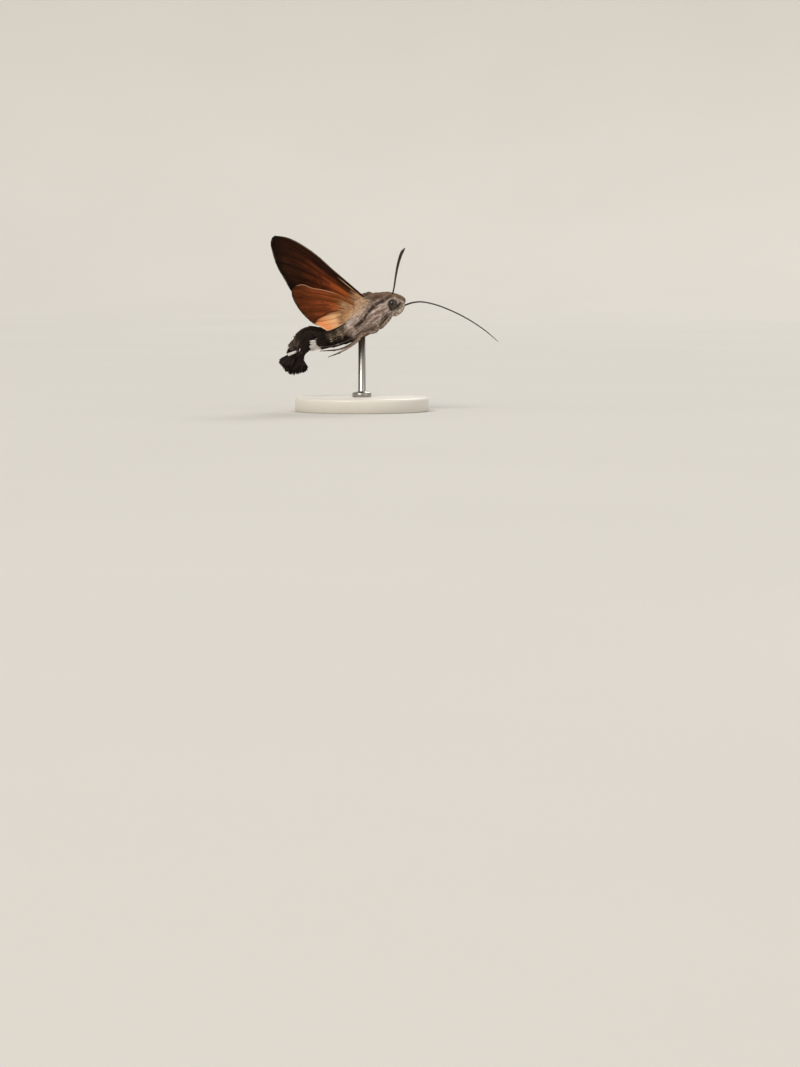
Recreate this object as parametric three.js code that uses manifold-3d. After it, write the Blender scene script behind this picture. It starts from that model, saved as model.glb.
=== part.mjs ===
// A hummingbird hawk moth hovering with its wings raised, life size, held on a plain display stand.
// Millimetres. +X is the way the moth faces, +Y is its left side and +Z is up.
// The origin is the centre of the underside of the stand's base.
// The moth has a frame of its own, with its origin in the middle of the thorax.

import * as THREE from "three";
import { mergeVertices } from "three/addons/utils/BufferGeometryUtils.js";
import Module from "manifold-3d";

const wasm = await Module();
wasm.setup();

// Driving dimensions
const GAP = 0.3; // clearance between two pieces that meet
const THORAX_HEIGHT = 20.8; // middle of the thorax above the table
const THORAX_AHEAD = 1.7; // middle of the thorax in front of the rod
const BODY_SIDES = 24;
const MEMBRANE = 0.5; // thickness of a wing between its veins
const VEIN_RISE = 0.13; // height of a vein above each face of the wing
const VEIN_HALF_WIDTH = 0.24;
const WING_LEAN = 0.3; // sideways lean of a raised wing for each millimetre up
const WING_BEND = 0.0045; // extra lean towards the wing tip
const EYE_RADIUS = 1.12; // upright; an eye is a little narrower from front to back
const BASE_RADIUS = 14;
const BASE_THICK = 3;
const BASE_EDGE = 0.7; // rounding of the base's upper edge
const ROD_RADIUS = 0.8;
const FLANGE_RADIUS = 2;
const FLANGE_THICK = 0.7;

// The body from face to tail: place in the side view, half depth, half width and roll to the right in degrees.
// The last segments roll towards the right side, as the tail fan steers.
const STATIONS = [
  { at: "face", x: 7.25, z: 1.58, deep: 0.7, wide: 0.8, roll: 0 },
  { at: "brow", x: 6.5, z: 1.9, deep: 1.5, wide: 1.75, roll: 0 },
  { at: "head", x: 5.05, z: 2.0, deep: 2.05, wide: 2.35, roll: 0 },
  { at: "neck", x: 3.8, z: 1.7, deep: 2.7, wide: 2.6, roll: 0 },
  { at: "shoulder", x: 2.1, z: 0.85, deep: 3.65, wide: 3.5, roll: 0 },
  { at: "thorax", x: 0, z: -0.05, deep: 4.3, wide: 4.0, roll: 0 },
  { at: "wing base", x: -2.3, z: -1.7, deep: 4.0, wide: 3.8, roll: 0 },
  { at: "waist", x: -4.4, z: -3.35, deep: 3.3, wide: 3.5, roll: 0 },
  { at: "second segment", x: -6.95, z: -4.85, deep: 2.5, wide: 3.4, roll: 2 },
  { at: "third segment", x: -9.85, z: -5.5, deep: 2.37, wide: 3.3, roll: 6 },
  { at: "fourth segment", x: -12.8, z: -5.6, deep: 2.55, wide: 3.1, roll: 14 },
  { at: "fifth segment", x: -14.6, z: -7.15, deep: 1.95, wide: 2.7, roll: 26 },
  { at: "last segment", x: -15.35, z: -8.6, deep: 1.5, wide: 2.1, roll: 34 },
  { at: "end", x: -15.6, z: -9.45, deep: 0.8, wide: 1.2, roll: 36 },
];
const NECK_CUT = 3.3; // places along the stations where one node ends and the next starts
const WAIST_CUT = 6.9;
const MIDDLE_CUT = 9.45;
const TAIL_CUT = 12.1;
const SEGMENT_EDGES = [7.65, 8.35, 9.05, 9.8, 10.45, 11.1, 11.7]; // rear edges of the abdomen's segments
const SEGMENT_STEP = 0.13; // how far each segment's rear edge stands over the next
const ABDOMEN = 7; // place where the abdomen's stepped segments start
const LAST = STATIONS.length - 1;

// Vector helpers
const v3 = (x, y, z) => new THREE.Vector3(x, y, z);
const radians = THREE.MathUtils.degToRad;
const clamp = THREE.MathUtils.clamp;
const smooth = THREE.MathUtils.smoothstep;

// A closed surface through rings of points, with a flat fan over each end.
function loft(rings) {
  const sides = rings[0].length;
  const points = rings.flat();
  const middle = (ring) =>
    ring.reduce((sum, p) => sum.add(p), v3(0, 0, 0)).divideScalar(sides);
  const first = points.push(middle(rings[0])) - 1;
  const last = points.push(middle(rings[rings.length - 1])) - 1;
  const index = [];
  for (let k = 0; k < sides; k++) {
    const next = (k + 1) % sides;
    for (let i = 0; i + 1 < rings.length; i++) {
      const a = i * sides;
      const b = a + sides;
      index.push(a + k, b + k, b + next, a + k, b + next, a + next);
    }
    const end = (rings.length - 1) * sides;
    index.push(first, k, next, last, end + next, end + k);
  }
  return new THREE.BufferGeometry().setFromPoints(points).setIndex(index);
}

// A closed three.js geometry as a solid that can be joined and cut, with its faces turned outwards.
function solid(geometry) {
  const bare = geometry.clone().deleteAttribute("normal").deleteAttribute("uv");
  const merged = mergeVertices(bare, 1e-4);
  const vertProperties = new Float32Array(merged.attributes.position.array);
  const make = (triVerts) =>
    new wasm.Manifold(new wasm.Mesh({ numProp: 3, vertProperties, triVerts }));
  const faces = new Uint32Array(merged.index.array);
  const made = make(faces);
  return made.volume() > 0 ? made : make(faces.reverse());
}

// The largest closed body of a solid, which drops loose scraps.
function largest(shape) {
  const bodies = shape.decompose();
  return bodies.reduce((a, b) => (b.volume() > a.volume() ? b : a));
}

// A named mesh of one sub-part.
function piece(name, shape, material) {
  const { vertProperties, triVerts } = largest(shape).getMesh();
  const geometry = new THREE.BufferGeometry();
  geometry.setAttribute("position", new THREE.BufferAttribute(vertProperties, 3));
  geometry.setIndex(new THREE.BufferAttribute(triVerts, 1));
  geometry.computeVertexNormals();
  const mesh = new THREE.Mesh(geometry, material);
  mesh.name = name;
  return mesh;
}

// The same solid on the moth's other side, for side -1.
const mirrored = (shape, side) => (side > 0 ? shape : shape.mirror([0, 1, 0]));

// Materials, in the colours of the photograph
const finish = (color, roughness, metalness = 0) =>
  new THREE.MeshStandardMaterial({ color, roughness, metalness });
const MATERIALS = {
  thoraxFur: finish(0x8b7868, 0.9),
  abdomenFur: finish(0x3a302a, 0.9),
  tailScales: finish(0x14110f, 0.8),
  paleScales: finish(0xb9aea6, 0.85),
  eye: finish(0x1d1512, 0.2),
  forewing: finish(0x4f2c1d, 0.8),
  hindwing: finish(0x8a4a26, 0.8),
  leg: finish(0x6a5a50, 0.85),
  horn: finish(0x2b1d15, 0.5),
  rod: finish(0xb0a99c, 0.3, 1),
  base: finish(0xdcd7cc, 0.35),
};

// Body

const spine = new THREE.CatmullRomCurve3(
  STATIONS.map((s) => v3(s.x, 0, s.z)), false, "catmullrom", 0.5,
);
const sizes = new THREE.CatmullRomCurve3(
  STATIONS.map((s) => v3(s.deep, s.wide, radians(s.roll))), false, "catmullrom", 0.5,
);

// The body's axes, centre and half sizes at a place along the stations.
function section(station) {
  const t = clamp(station / LAST, 0, 1);
  const back = spine.getTangent(t);
  const size = sizes.getPoint(t);
  const side = v3(0, 1, 0);
  const up = side.clone().cross(back);
  side.applyAxisAngle(back, -size.z);
  up.applyAxisAngle(back, -size.z);
  return { centre: spine.getPoint(t), back, side, up, deep: size.x, wide: size.y };
}

// A point on the body: around is 0 on the back, 90 on the left side and 180 underneath.
function onBody(station, around, off = 0) {
  const s = section(station);
  const a = radians(around);
  return s.centre
    .addScaledVector(s.up, Math.cos(a) * (s.deep + off))
    .addScaledVector(s.side, Math.sin(a) * (s.wide + off));
}

// Ring places with their swelling: even along the head and thorax, and in steps along the abdomen.
function bodyRings() {
  const places = [{ at: 0, swell: 0 }, { at: 0.35, swell: 0 }, { at: 0.7, swell: 0 }];
  for (let at = 1; at <= ABDOMEN; at += 0.5) {
    places.push({ at, swell: 0 });
  }
  let front = ABDOMEN;
  for (const edge of SEGMENT_EDGES) {
    places.push({ at: (front + edge) / 2, swell: SEGMENT_STEP / 2 });
    places.push({ at: edge, swell: SEGMENT_STEP });
    places.push({ at: edge + 0.06, swell: 0 });
    front = edge;
  }
  return [...places, { at: 12.2, swell: 0 }, { at: 12.6, swell: 0 }, { at: LAST, swell: 0 }];
}

function bodySolid(grow) {
  const ring = ({ at, swell }) =>
    Array.from({ length: BODY_SIDES }, (_, k) =>
      onBody(at, (360 * k) / BODY_SIDES, grow + swell),
    );
  return solid(loft(bodyRings().map(ring)));
}

const body = bodySolid(0);
const bodyClear = bodySolid(GAP);

// The stretch of a body solid between two places, with a thin cut at each.
function stretch(shape, from, to) {
  const plane = (station, direction) => {
    const s = section(station);
    const normal = s.back.multiplyScalar(direction);
    return [normal.toArray(), normal.dot(s.centre) + GAP / 2];
  };
  const behind = from > 0 ? shape.trimByPlane(...plane(from, 1)) : shape;
  return to < LAST ? behind.trimByPlane(...plane(to, -1)) : behind;
}

// Limbs

// A tube along a smooth curve through points, with a half depth and half width at each.
function limb(points, deep, wide = deep, sides = 8, rings = 12) {
  const curve = new THREE.CatmullRomCurve3(points);
  const along = (list, t) => {
    const k = Math.min(Math.floor(t * (list.length - 1)), list.length - 2);
    const part = t * (list.length - 1) - k;
    return list[k] + (list[k + 1] - list[k]) * part;
  };
  const made = [];
  for (let i = 0; i <= rings; i++) {
    const t = i / rings;
    const forward = curve.getTangent(t);
    const side = v3(0, 1, 0).addScaledVector(forward, -forward.y).normalize();
    const up = forward.clone().cross(side);
    made.push(
      Array.from({ length: sides }, (_, k) => {
        const a = (2 * Math.PI * k) / sides;
        return curve
          .getPoint(t)
          .addScaledVector(up, Math.cos(a) * along(deep, t))
          .addScaledVector(side, Math.sin(a) * along(wide, t));
      }),
    );
  }
  return solid(loft(made));
}

// Head

const EYE_CENTRE = v3(4.7, 1.85, 1.58);

function eyeSolid(grow) {
  const ball = new THREE.SphereGeometry(EYE_RADIUS + grow, 16, 9);
  ball.scale(0.9, 1, 1).translate(...EYE_CENTRE);
  return solid(ball);
}

function headSolid() {
  const sockets = [1, -1].map((side) => mirrored(eyeSolid(GAP), side));
  return sockets.reduce((head, socket) => head.subtract(socket), stretch(body, 0, NECK_CUT));
}

// The tongue leaves the face, rises a little to its knee and bows down to its tip.
const PROBOSCIS_PATH = [
  v3(6.3, 0, 0.95), v3(8.8, 0, 1.85), v3(10.7, 0, 2.05), v3(13.4, 0, 1.55),
  v3(16.8, 0, 0.3), v3(20.4, 0, -1.5), v3(23.9, 0, -3.8), v3(26.9, 0, -6.3),
];

function proboscisSolid(grow) {
  const radii = [0.36, 0.34, 0.33, 0.32, 0.3, 0.29, 0.27, 0.22].map((r) => r + grow);
  return limb(PROBOSCIS_PATH, radii, radii, 8, 26);
}

function palpSolid() {
  const path = [v3(3.9, 0.9, -0.2), v3(5.25, 1.0, -0.15), v3(6.4, 0.95, 0.68), v3(7.0, 0.75, 1.9)];
  const deep = [0.5, 0.8, 0.75, 0.3];
  const wide = [0.45, 0.65, 0.6, 0.25];
  return limb(path, deep, wide, 10, 7).subtract(bodyClear).subtract(proboscisSolid(GAP));
}

function antennaSolid() {
  const path = [
    v3(4.45, 0.75, 2.9), v3(4.95, 1.3, 4.6), v3(5.38, 2.6, 7.3),
    v3(5.9, 4.0, 10.0), v3(6.65, 5.3, 12.3), v3(7.35, 6.0, 13.3),
  ];
  return limb(path, [0.36, 0.27, 0.3, 0.38, 0.46, 0.2], undefined, 8, 18).subtract(bodyClear);
}

// Legs

function foreLegSolid() {
  const path = [
    onBody(4.9, 160, -0.6), onBody(4.55, 146, 0.58), onBody(3.95, 138, 0.75),
    onBody(3.35, 128, 0.8), onBody(3.6, 119, 0.78), onBody(4.0, 119, 0.72), onBody(4.35, 123, 0.65),
  ];
  return limb(path, [0.45, 0.4, 0.36, 0.33, 0.31, 0.28, 0.2], undefined, 6, 14);
}

function midLegSolid() {
  const path = [
    onBody(6.0, 150, -0.6), onBody(5.7, 143, 0.6), onBody(5.25, 136, 0.78),
    onBody(4.9, 127, 0.85), onBody(5.2, 117, 0.8), onBody(6.2, 118, 0.72),
    onBody(7.3, 125, 0.7), onBody(8.3, 131, 0.75), onBody(9.2, 135, 0.75),
  ];
  return limb(path, [0.46, 0.44, 0.4, 0.36, 0.34, 0.31, 0.28, 0.26, 0.2], undefined, 6, 20);
}

// The right hind leg trails clear below the abdomen and the left one lies along it.
const HIND_LEG_PATHS = {
  right: [
    v3(-1.5, 1.75, -4.6), v3(-3.0, 1.9, -6.3), v3(-5.25, 2.4, -7.9),
    v3(-7.1, 2.4, -8.8), v3(-8.7, 2.1, -9.4),
  ],
  left: [
    v3(-1.5, 1.75, -4.6), v3(-3.4, 2.0, -6.5), v3(-6.2, 2.4, -7.85),
    v3(-8.4, 2.3, -8.15), v3(-10.5, 1.9, -8.25),
  ],
};

const hindLegSolid = (name) =>
  limb(HIND_LEG_PATHS[name], [0.48, 0.42, 0.34, 0.28, 0.2], undefined, 6, 14);

// Wings

// Each outline is a side view from the wing's hinge, in millimetres back (negative) and up.
const WING_HINGE = { x: -2.52, z: 2.1 };
const HINGE_SLOPE = radians(30); // pitch of the line that the wings turn about
const FOREWING = {
  reach: 1.75, // distance of the hinge from the moth's middle plane
  front: [
    [1.9, 0.7], [0.75, 1.6], [-2.31, 4.2], [-5.46, 6.87],
    [-8.61, 9.66], [-11.97, 11.97], [-14.7, 13.27], [-17.0, 13.73],
  ],
  margin: [
    [-17.0, 13.73], [-17.6, 13.25], [-17.85, 12.2], [-17.55, 10.3], [-16.6, 7.35],
    [-15.1, 4.62], [-13.75, 2.2], [-12.4, 0.42], [-11.1, -0.42],
  ],
  rear: [[-0.21, -1.47], [-3.57, -1.05], [-7.56, -0.84], [-11.1, -0.42]],
  veins: [0.07, 0.15, 0.24, 0.34, 0.46, 0.57, 0.68, 0.78, 0.9],
  stems: [0.1, 0.17, 0.23, 0.29, 0.4, 0.5, 0.58, 0.66, 0.85],
  fromCell: [4, 5], // veins that start only at the end of the cell
  fold: 1,
  foldOut: 0,
};
const HINDWING = {
  reach: 2.85,
  front: [
    [-0.21, -0.84], [-2.31, 0.73], [-4.2, 1.68], [-6.93, 2.46],
    [-9.45, 2.94], [-11.34, 3.63], [-12.8, 3.4],
  ],
  margin: [
    [-12.8, 3.4], [-13.65, 2.52], [-13.5, 1.05], [-12.7, -0.63], [-11.55, -2.31],
    [-10.3, -3.57], [-9.24, -4.47], [-7.98, -5.04], [-6.3, -5.98],
  ],
  rear: [[-1.26, -3.36], [-3.57, -4.83], [-5.04, -5.57], [-6.3, -5.98]],
  veins: [0.12, 0.25, 0.37, 0.49, 0.61, 0.73, 0.88],
  stems: [0.12, 0.22, 0.32, 0.42, 0.52, 0.7, 0.86],
  fromCell: [2, 3],
  fold: 0.74,
  foldOut: 0.9,
};
const WING_ROWS = 8;
const CELL_END = 0.5;

const plan = (points) =>
  new THREE.CatmullRomCurve3(points.map(([x, z]) => v3(x, 0, z)), false, "centripetal");

// A wing's middle surface: s runs from root to margin and t from the front edge to the rear edge.
function wingSurface(shape) {
  const [front, margin, rear] = [plan(shape.front), plan(shape.margin), plan(shape.rear)];
  return (s, t) => {
    const straight = front.getPoint(1).lerp(rear.getPoint(1), t);
    const p = front.getPoint(s).lerp(rear.getPoint(s), t);
    p.addScaledVector(margin.getPoint(t).sub(straight), s);
    const rise = p.z * Math.cos(HINGE_SLOPE) - p.x * Math.sin(HINGE_SLOPE);
    const lean = rise > 0 ? WING_LEAN * rise + WING_BEND * rise * rise : 0;
    const folded = (shape.foldOut * Math.max(0, t - shape.fold)) / Math.max(0.01, 1 - shape.fold);
    return v3(p.x + WING_HINGE.x, shape.reach + lean + folded * s, p.z + WING_HINGE.z);
  };
}

// Columns of a wing: both edges and three for each vein, with each one's rise above the membrane.
function wingColumns(shape, s, chord) {
  const open = smooth(s, 0, 0.75);
  const veins = shape.veins.map((end, k) => THREE.MathUtils.lerp(shape.stems[k], end, open));
  const bounds = [0, ...veins, 1];
  const columns = [{ t: 0, rise: VEIN_RISE }];
  veins.forEach((t, k) => {
    const before = t - bounds[k];
    const after = bounds[k + 2] - t;
    const half = Math.min(VEIN_HALF_WIDTH / chord, 0.3 * before, 0.3 * after);
    const starts = shape.fromCell.includes(k) ? smooth(s, CELL_END - 0.12, CELL_END) : 1;
    columns.push({ t: t - half, rise: 0 });
    columns.push({ t, rise: VEIN_RISE * starts });
    columns.push({ t: t + half, rise: 0 });
  });
  return [...columns, { t: 1, rise: 0 }];
}

// Both faces of a wing are split into the same triangles, with a rim between them.
function wingSolid(shape) {
  const surface = wingSurface(shape);
  const step = 0.01;
  const upper = [];
  const lower = [];
  for (let i = 0; i <= WING_ROWS; i++) {
    const s = i / WING_ROWS;
    const chord = surface(s, 0).distanceTo(surface(s, 1));
    for (const { t, rise } of wingColumns(shape, s, chord)) {
      const t0 = clamp(t, step, 1 - step);
      const s0 = clamp(s, step, 1 - step);
      const span = surface(s0 + step, t0).sub(surface(s0 - step, t0));
      const across = surface(s0, t0 + step).sub(surface(s0, t0 - step));
      const offset = span.cross(across).normalize().multiplyScalar(MEMBRANE / 2 + rise);
      const middle = surface(s, t);
      upper.push(middle.clone().add(offset));
      lower.push(middle.sub(offset));
    }
  }
  const width = upper.length / (WING_ROWS + 1);
  const count = upper.length;
  const index = [];
  const quad = (a, b, c, d) => index.push(a, b, c, a, c, d);
  for (let i = 0; i < WING_ROWS; i++) {
    for (let j = 0; j + 1 < width; j++) {
      const a = i * width + j;
      const [b, c, d] = [a + 1, a + width + 1, a + width];
      index.push(a, b, c, a, c, d);
      index.push(a + count, c + count, b + count, a + count, d + count, c + count);
    }
    const [a, d] = [i * width, (i + 1) * width];
    quad(a, d, d + count, a + count);
    quad(d + width - 1, a + width - 1, a + width - 1 + count, d + width - 1 + count);
  }
  for (let j = 0; j + 1 < width; j++) {
    const end = WING_ROWS * width + j;
    quad(j + 1, j, j + count, j + 1 + count);
    quad(end, end + 1, end + 1 + count, end + count);
  }
  const points = [...upper, ...lower];
  const geometry = new THREE.BufferGeometry().setFromPoints(points).setIndex(index);
  return solid(geometry).subtract(bodyClear);
}

// Tufts

// A flat lock of long scales: it widens from its root, rounds off at its tip and bends towards lift.
function lock({ root, along, face, length, width, thick, lift = 0 }) {
  const side = along.clone().cross(face).normalize();
  const up = side.clone().cross(along).normalize();
  const outline = [
    { at: 0, wide: 0.5, deep: 1 },
    { at: 0.4, wide: 0.95, deep: 1 },
    { at: 0.78, wide: 0.9, deep: 0.8 },
    { at: 1, wide: 0.3, deep: 0.45 },
  ];
  const rings = outline.map(({ at, wide, deep }) => {
    const centre = root.clone().addScaledVector(along, at * length);
    centre.addScaledVector(up, lift * length * at * at);
    return Array.from({ length: 4 }, (_, k) => {
      const a = (Math.PI * k) / 2;
      return centre
        .clone()
        .addScaledVector(side, (Math.cos(a) * wide * width) / 2)
        .addScaledVector(up, (Math.sin(a) * deep * thick) / 2);
    });
  });
  return solid(loft(rings));
}

// A repeatable draw between -1 and 1.
let seed = 7;
function draw() {
  seed = (seed * 16807) % 2147483647;
  return (seed / 2147483647) * 2 - 1;
}

const joined = (shapes) => shapes.reduce((a, b) => a.add(b));

// Side tufts of the abdomen: three locks fanned at the rear edge of a segment.
const TUFT_EDGES = {
  front: [8.35, 9.05],
  rear: [9.8, 10.45, 11.1, 11.7],
};
const TUFT_PLACES = [66, 84, 102]; // degrees round the body from the back
const TUFT_LENGTH = 2.5;
const TUFT_WIDTH = 1.4;
const TUFT_THICK = 0.6;
const TUFT_START = 0.25; // how far in front of the segment's edge a lock starts
const TUFT_SINK = 0.7; // how far its root lies under the body's surface
const TUFT_FLARE = 0.62; // outward lean of the tufts for each millimetre back

function sideTufts(edges) {
  const locks = [];
  for (const edge of edges) {
    for (const side of [1, -1]) {
      for (const around of TUFT_PLACES) {
        const angle = (around + 4 * draw()) * side;
        const start = edge - TUFT_START;
        const root = onBody(start, angle, -TUFT_SINK);
        const face = onBody(start, angle, 1).sub(onBody(start, angle));
        const along = section(start).back.addScaledVector(face, TUFT_FLARE).normalize();
        const length = TUFT_LENGTH * (1 + 0.08 * draw());
        locks.push(lock({ root, along, face, length, width: TUFT_WIDTH, thick: TUFT_THICK }));
      }
    }
  }
  return locks;
}

// Tail fan: three tiers of locks that spread from the last segment, the longest in the middle tier.
const FAN_ROOT = 12.35;
const FAN_TIERS = [
  { tilt: 30, spread: 46, count: 7, length: 4.1 },
  { tilt: 2, spread: 62, count: 9, length: 5.0 },
  { tilt: -28, spread: 46, count: 7, length: 4.1 },
];
const FAN_LOCK_WIDTH = 1.6;
const FAN_LOCK_THICK = 0.7;
const FAN_LIFT = 0.06; // how far the outer tiers' locks curl away from the middle one

function fanLocks() {
  const s = section(FAN_ROOT);
  return FAN_TIERS.flatMap(({ tilt, spread, count, length }) =>
    Array.from({ length: count }, (_, k) => {
      const share = (2 * k) / (count - 1) - 1;
      const yaw = radians(share * spread + 2 * draw());
      const pitch = radians(tilt * (1 - 0.35 * Math.abs(share)) + 2 * draw());
      const along = s.back
        .clone()
        .multiplyScalar(Math.cos(yaw) * Math.cos(pitch))
        .addScaledVector(s.side, Math.sin(yaw))
        .addScaledVector(s.up, Math.sin(pitch))
        .normalize();
      const root = s.centre
        .clone()
        .addScaledVector(s.side, share * s.wide * 0.45)
        .addScaledVector(s.up, (s.deep * 0.4 * tilt) / FAN_TIERS[0].tilt);
      const size = length * (1 - 0.12 * share * share + 0.05 * draw());
      return lock({
        root, along, face: s.up, length: size,
        width: FAN_LOCK_WIDTH, thick: FAN_LOCK_THICK, lift: FAN_LIFT * Math.sign(tilt),
      });
    }),
  );
}

const abdomenSolid = (from, to, edges) =>
  stretch(joined([body, ...sideTufts(edges)]), from, to);

const tailSolid = () => stretch(joined([body, ...fanLocks()]), TAIL_CUT, LAST);

// Stand, in the frame of the whole model

function baseSolid() {
  const arc = new THREE.Path()
    .moveTo(0, 0)
    .lineTo(BASE_RADIUS, 0)
    .lineTo(BASE_RADIUS, BASE_THICK - BASE_EDGE)
    .absarc(BASE_RADIUS - BASE_EDGE, BASE_THICK - BASE_EDGE, BASE_EDGE, 0, Math.PI / 2)
    .lineTo(0, BASE_THICK);
  const turned = new THREE.LatheGeometry(arc.getPoints(2), 48);
  return solid(turned.rotateX(Math.PI / 2));
}

function rodSolid() {
  const foot = BASE_THICK + GAP;
  const profile = [
    [0, foot], [FLANGE_RADIUS, foot], [FLANGE_RADIUS, foot + FLANGE_THICK],
    [ROD_RADIUS, foot + FLANGE_THICK], [ROD_RADIUS, THORAX_HEIGHT], [0, THORAX_HEIGHT],
  ].map(([r, z]) => new THREE.Vector2(r, z));
  const rod = solid(new THREE.LatheGeometry(profile, 16).rotateX(Math.PI / 2));
  return rod.subtract(bodyClear.translate([THORAX_AHEAD, 0, THORAX_HEIGHT]));
}

// Assembly

const moth = new THREE.Group();
moth.position.set(THORAX_AHEAD, 0, THORAX_HEIGHT);
moth.add(
  piece("head", headSolid(), MATERIALS.thoraxFur),
  piece("thorax", stretch(body, NECK_CUT, WAIST_CUT), MATERIALS.thoraxFur),
  piece("abdomen_front", abdomenSolid(WAIST_CUT, MIDDLE_CUT, TUFT_EDGES.front), MATERIALS.abdomenFur),
  piece("abdomen_rear", abdomenSolid(MIDDLE_CUT, TAIL_CUT, TUFT_EDGES.rear), MATERIALS.abdomenFur),
  piece("tail_fan", tailSolid(), MATERIALS.tailScales),
  piece("proboscis", proboscisSolid(0).subtract(bodyClear), MATERIALS.horn),
);
for (const [name, side] of [["left", 1], ["right", -1]]) {
  const add = (part, shape, material) =>
    moth.add(piece(`${part}_${name}`, mirrored(shape, side), material));
  add("eye", eyeSolid(0), MATERIALS.eye);
  add("palp", palpSolid(), MATERIALS.paleScales);
  add("antenna", antennaSolid(), MATERIALS.horn);
  add("forewing", wingSolid(FOREWING), MATERIALS.forewing);
  add("hindwing", wingSolid(HINDWING), MATERIALS.hindwing);
  add("foreleg", foreLegSolid().subtract(bodyClear), MATERIALS.leg);
  add("midleg", midLegSolid().subtract(bodyClear), MATERIALS.leg);
  add("hindleg", hindLegSolid(name).subtract(bodyClear), MATERIALS.leg);
}

const stand = new THREE.Group();
stand.add(
  piece("stand_base", baseSolid(), MATERIALS.base),
  piece("stand_rod", rodSolid(), MATERIALS.rod),
);

const model = new THREE.Group();
model.add(moth, stand);

export default model;
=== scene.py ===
"""A hummingbird hawk moth hovering with raised wings on a display stand, dressed around its solids.

The moth's own measures are in millimetres from the middle of its thorax. Objects are in metres.
"""

import math

import bmesh
import bpy
import numpy as np
from mathutils import Matrix, Vector


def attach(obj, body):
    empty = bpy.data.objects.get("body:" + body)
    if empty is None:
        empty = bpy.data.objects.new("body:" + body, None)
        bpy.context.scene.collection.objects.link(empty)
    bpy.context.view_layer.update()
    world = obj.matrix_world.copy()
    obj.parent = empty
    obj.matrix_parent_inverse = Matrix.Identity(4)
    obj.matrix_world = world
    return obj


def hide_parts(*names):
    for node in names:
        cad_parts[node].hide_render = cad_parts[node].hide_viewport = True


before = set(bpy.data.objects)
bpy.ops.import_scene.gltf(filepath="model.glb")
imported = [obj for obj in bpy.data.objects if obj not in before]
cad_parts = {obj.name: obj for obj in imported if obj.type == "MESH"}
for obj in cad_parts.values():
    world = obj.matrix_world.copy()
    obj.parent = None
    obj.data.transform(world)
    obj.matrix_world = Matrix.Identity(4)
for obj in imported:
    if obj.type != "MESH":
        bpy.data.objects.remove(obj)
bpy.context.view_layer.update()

MM = 0.001
THORAX = np.array([1.7, 0.0, 20.8])  # middle of the thorax from the centre of the stand's foot
Y = np.array([0.0, 1.0, 0.0])
SIDES = {"left": 1, "right": -1}

# The body from face to tail: place in the side view, half depth, half width and roll to the right
STATIONS = np.array([
    (7.25, 1.58, 0.7, 0.8, 0), (6.5, 1.9, 1.5, 1.75, 0), (5.05, 2.0, 2.05, 2.35, 0),
    (3.8, 1.7, 2.7, 2.6, 0), (2.1, 0.85, 3.65, 3.5, 0), (0, -0.05, 4.3, 4.0, 0),
    (-2.3, -1.7, 4.0, 3.8, 0), (-4.4, -3.35, 3.3, 3.5, 0), (-6.95, -4.85, 2.5, 3.4, 2),
    (-9.85, -5.5, 2.37, 3.3, 6), (-12.8, -5.6, 2.55, 3.1, 14), (-14.6, -7.15, 1.95, 2.7, 26),
    (-15.35, -8.6, 1.5, 2.1, 34), (-15.6, -9.45, 0.8, 1.2, 36),
])
LAST = len(STATIONS) - 1
NECK = 3.3  # these places along the body are counted in stations
WAIST = 6.9
SEGMENT_EDGES = [7.65, 8.35, 9.05, 9.8, 10.45, 11.1, 11.7]
SEGMENT_STEP = 0.12  # how far the rear edge of a segment stands over the front of the next

# How far the skin lies under the outline of its coat, at places along the body
COAT_DEPTH = [(0, 0.12), (1.5, 0.26), (3.3, 0.42), (5, 0.55), (6.5, 0.5), (8, 0.24), (LAST, 0.2)]

EYE_CENTRE = np.array([4.7, 1.85, 1.58])
EYE_RADII = np.array([1.0, 1.12, 1.12])

TRIES = 8  # draws for each place that is scattered over a form
FULL_AREA = 98  # percentile of the surface's spread from which every draw is kept


def unit(v):
    return v / np.maximum(np.linalg.norm(v, axis=-1, keepdims=True), 1e-9)


def spline(points, t, even=False):
    """A smooth curve through points, at places counted in points."""
    points = np.asarray(points, float)
    padded = np.vstack([2 * points[0] - points[1], points, 2 * points[-1] - points[-2]])
    t = np.clip(np.asarray(t, float), 0, len(points) - 1)
    k = np.minimum(t.astype(int), len(points) - 2)
    f = (t - k)[..., None]
    a, b, c, d = (padded[k + n] for n in range(4))
    if even:
        start = (c - a) / 2
        end = (d - b) / 2
    else:
        gaps = [np.sqrt(np.linalg.norm(q - p, axis=-1, keepdims=True)) for p, q in ((a, b), (b, c), (c, d))]
        start = gaps[1] * ((b - a) / gaps[0] - (c - a) / (gaps[0] + gaps[1]) + (c - b) / gaps[1])
        end = gaps[1] * ((c - b) / gaps[1] - (d - b) / (gaps[1] + gaps[2]) + (d - c) / gaps[2])
    return b + start * f + (3 * (c - b) - 2 * start - end) * f**2 + (2 * (b - c) + start + end) * f**3


def step(value, low, high):
    """Rises smoothly from 0 at low to 1 at high."""
    x = np.clip((value - low) / (high - low), 0, 1)
    return x * x * (3 - 2 * x)


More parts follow.
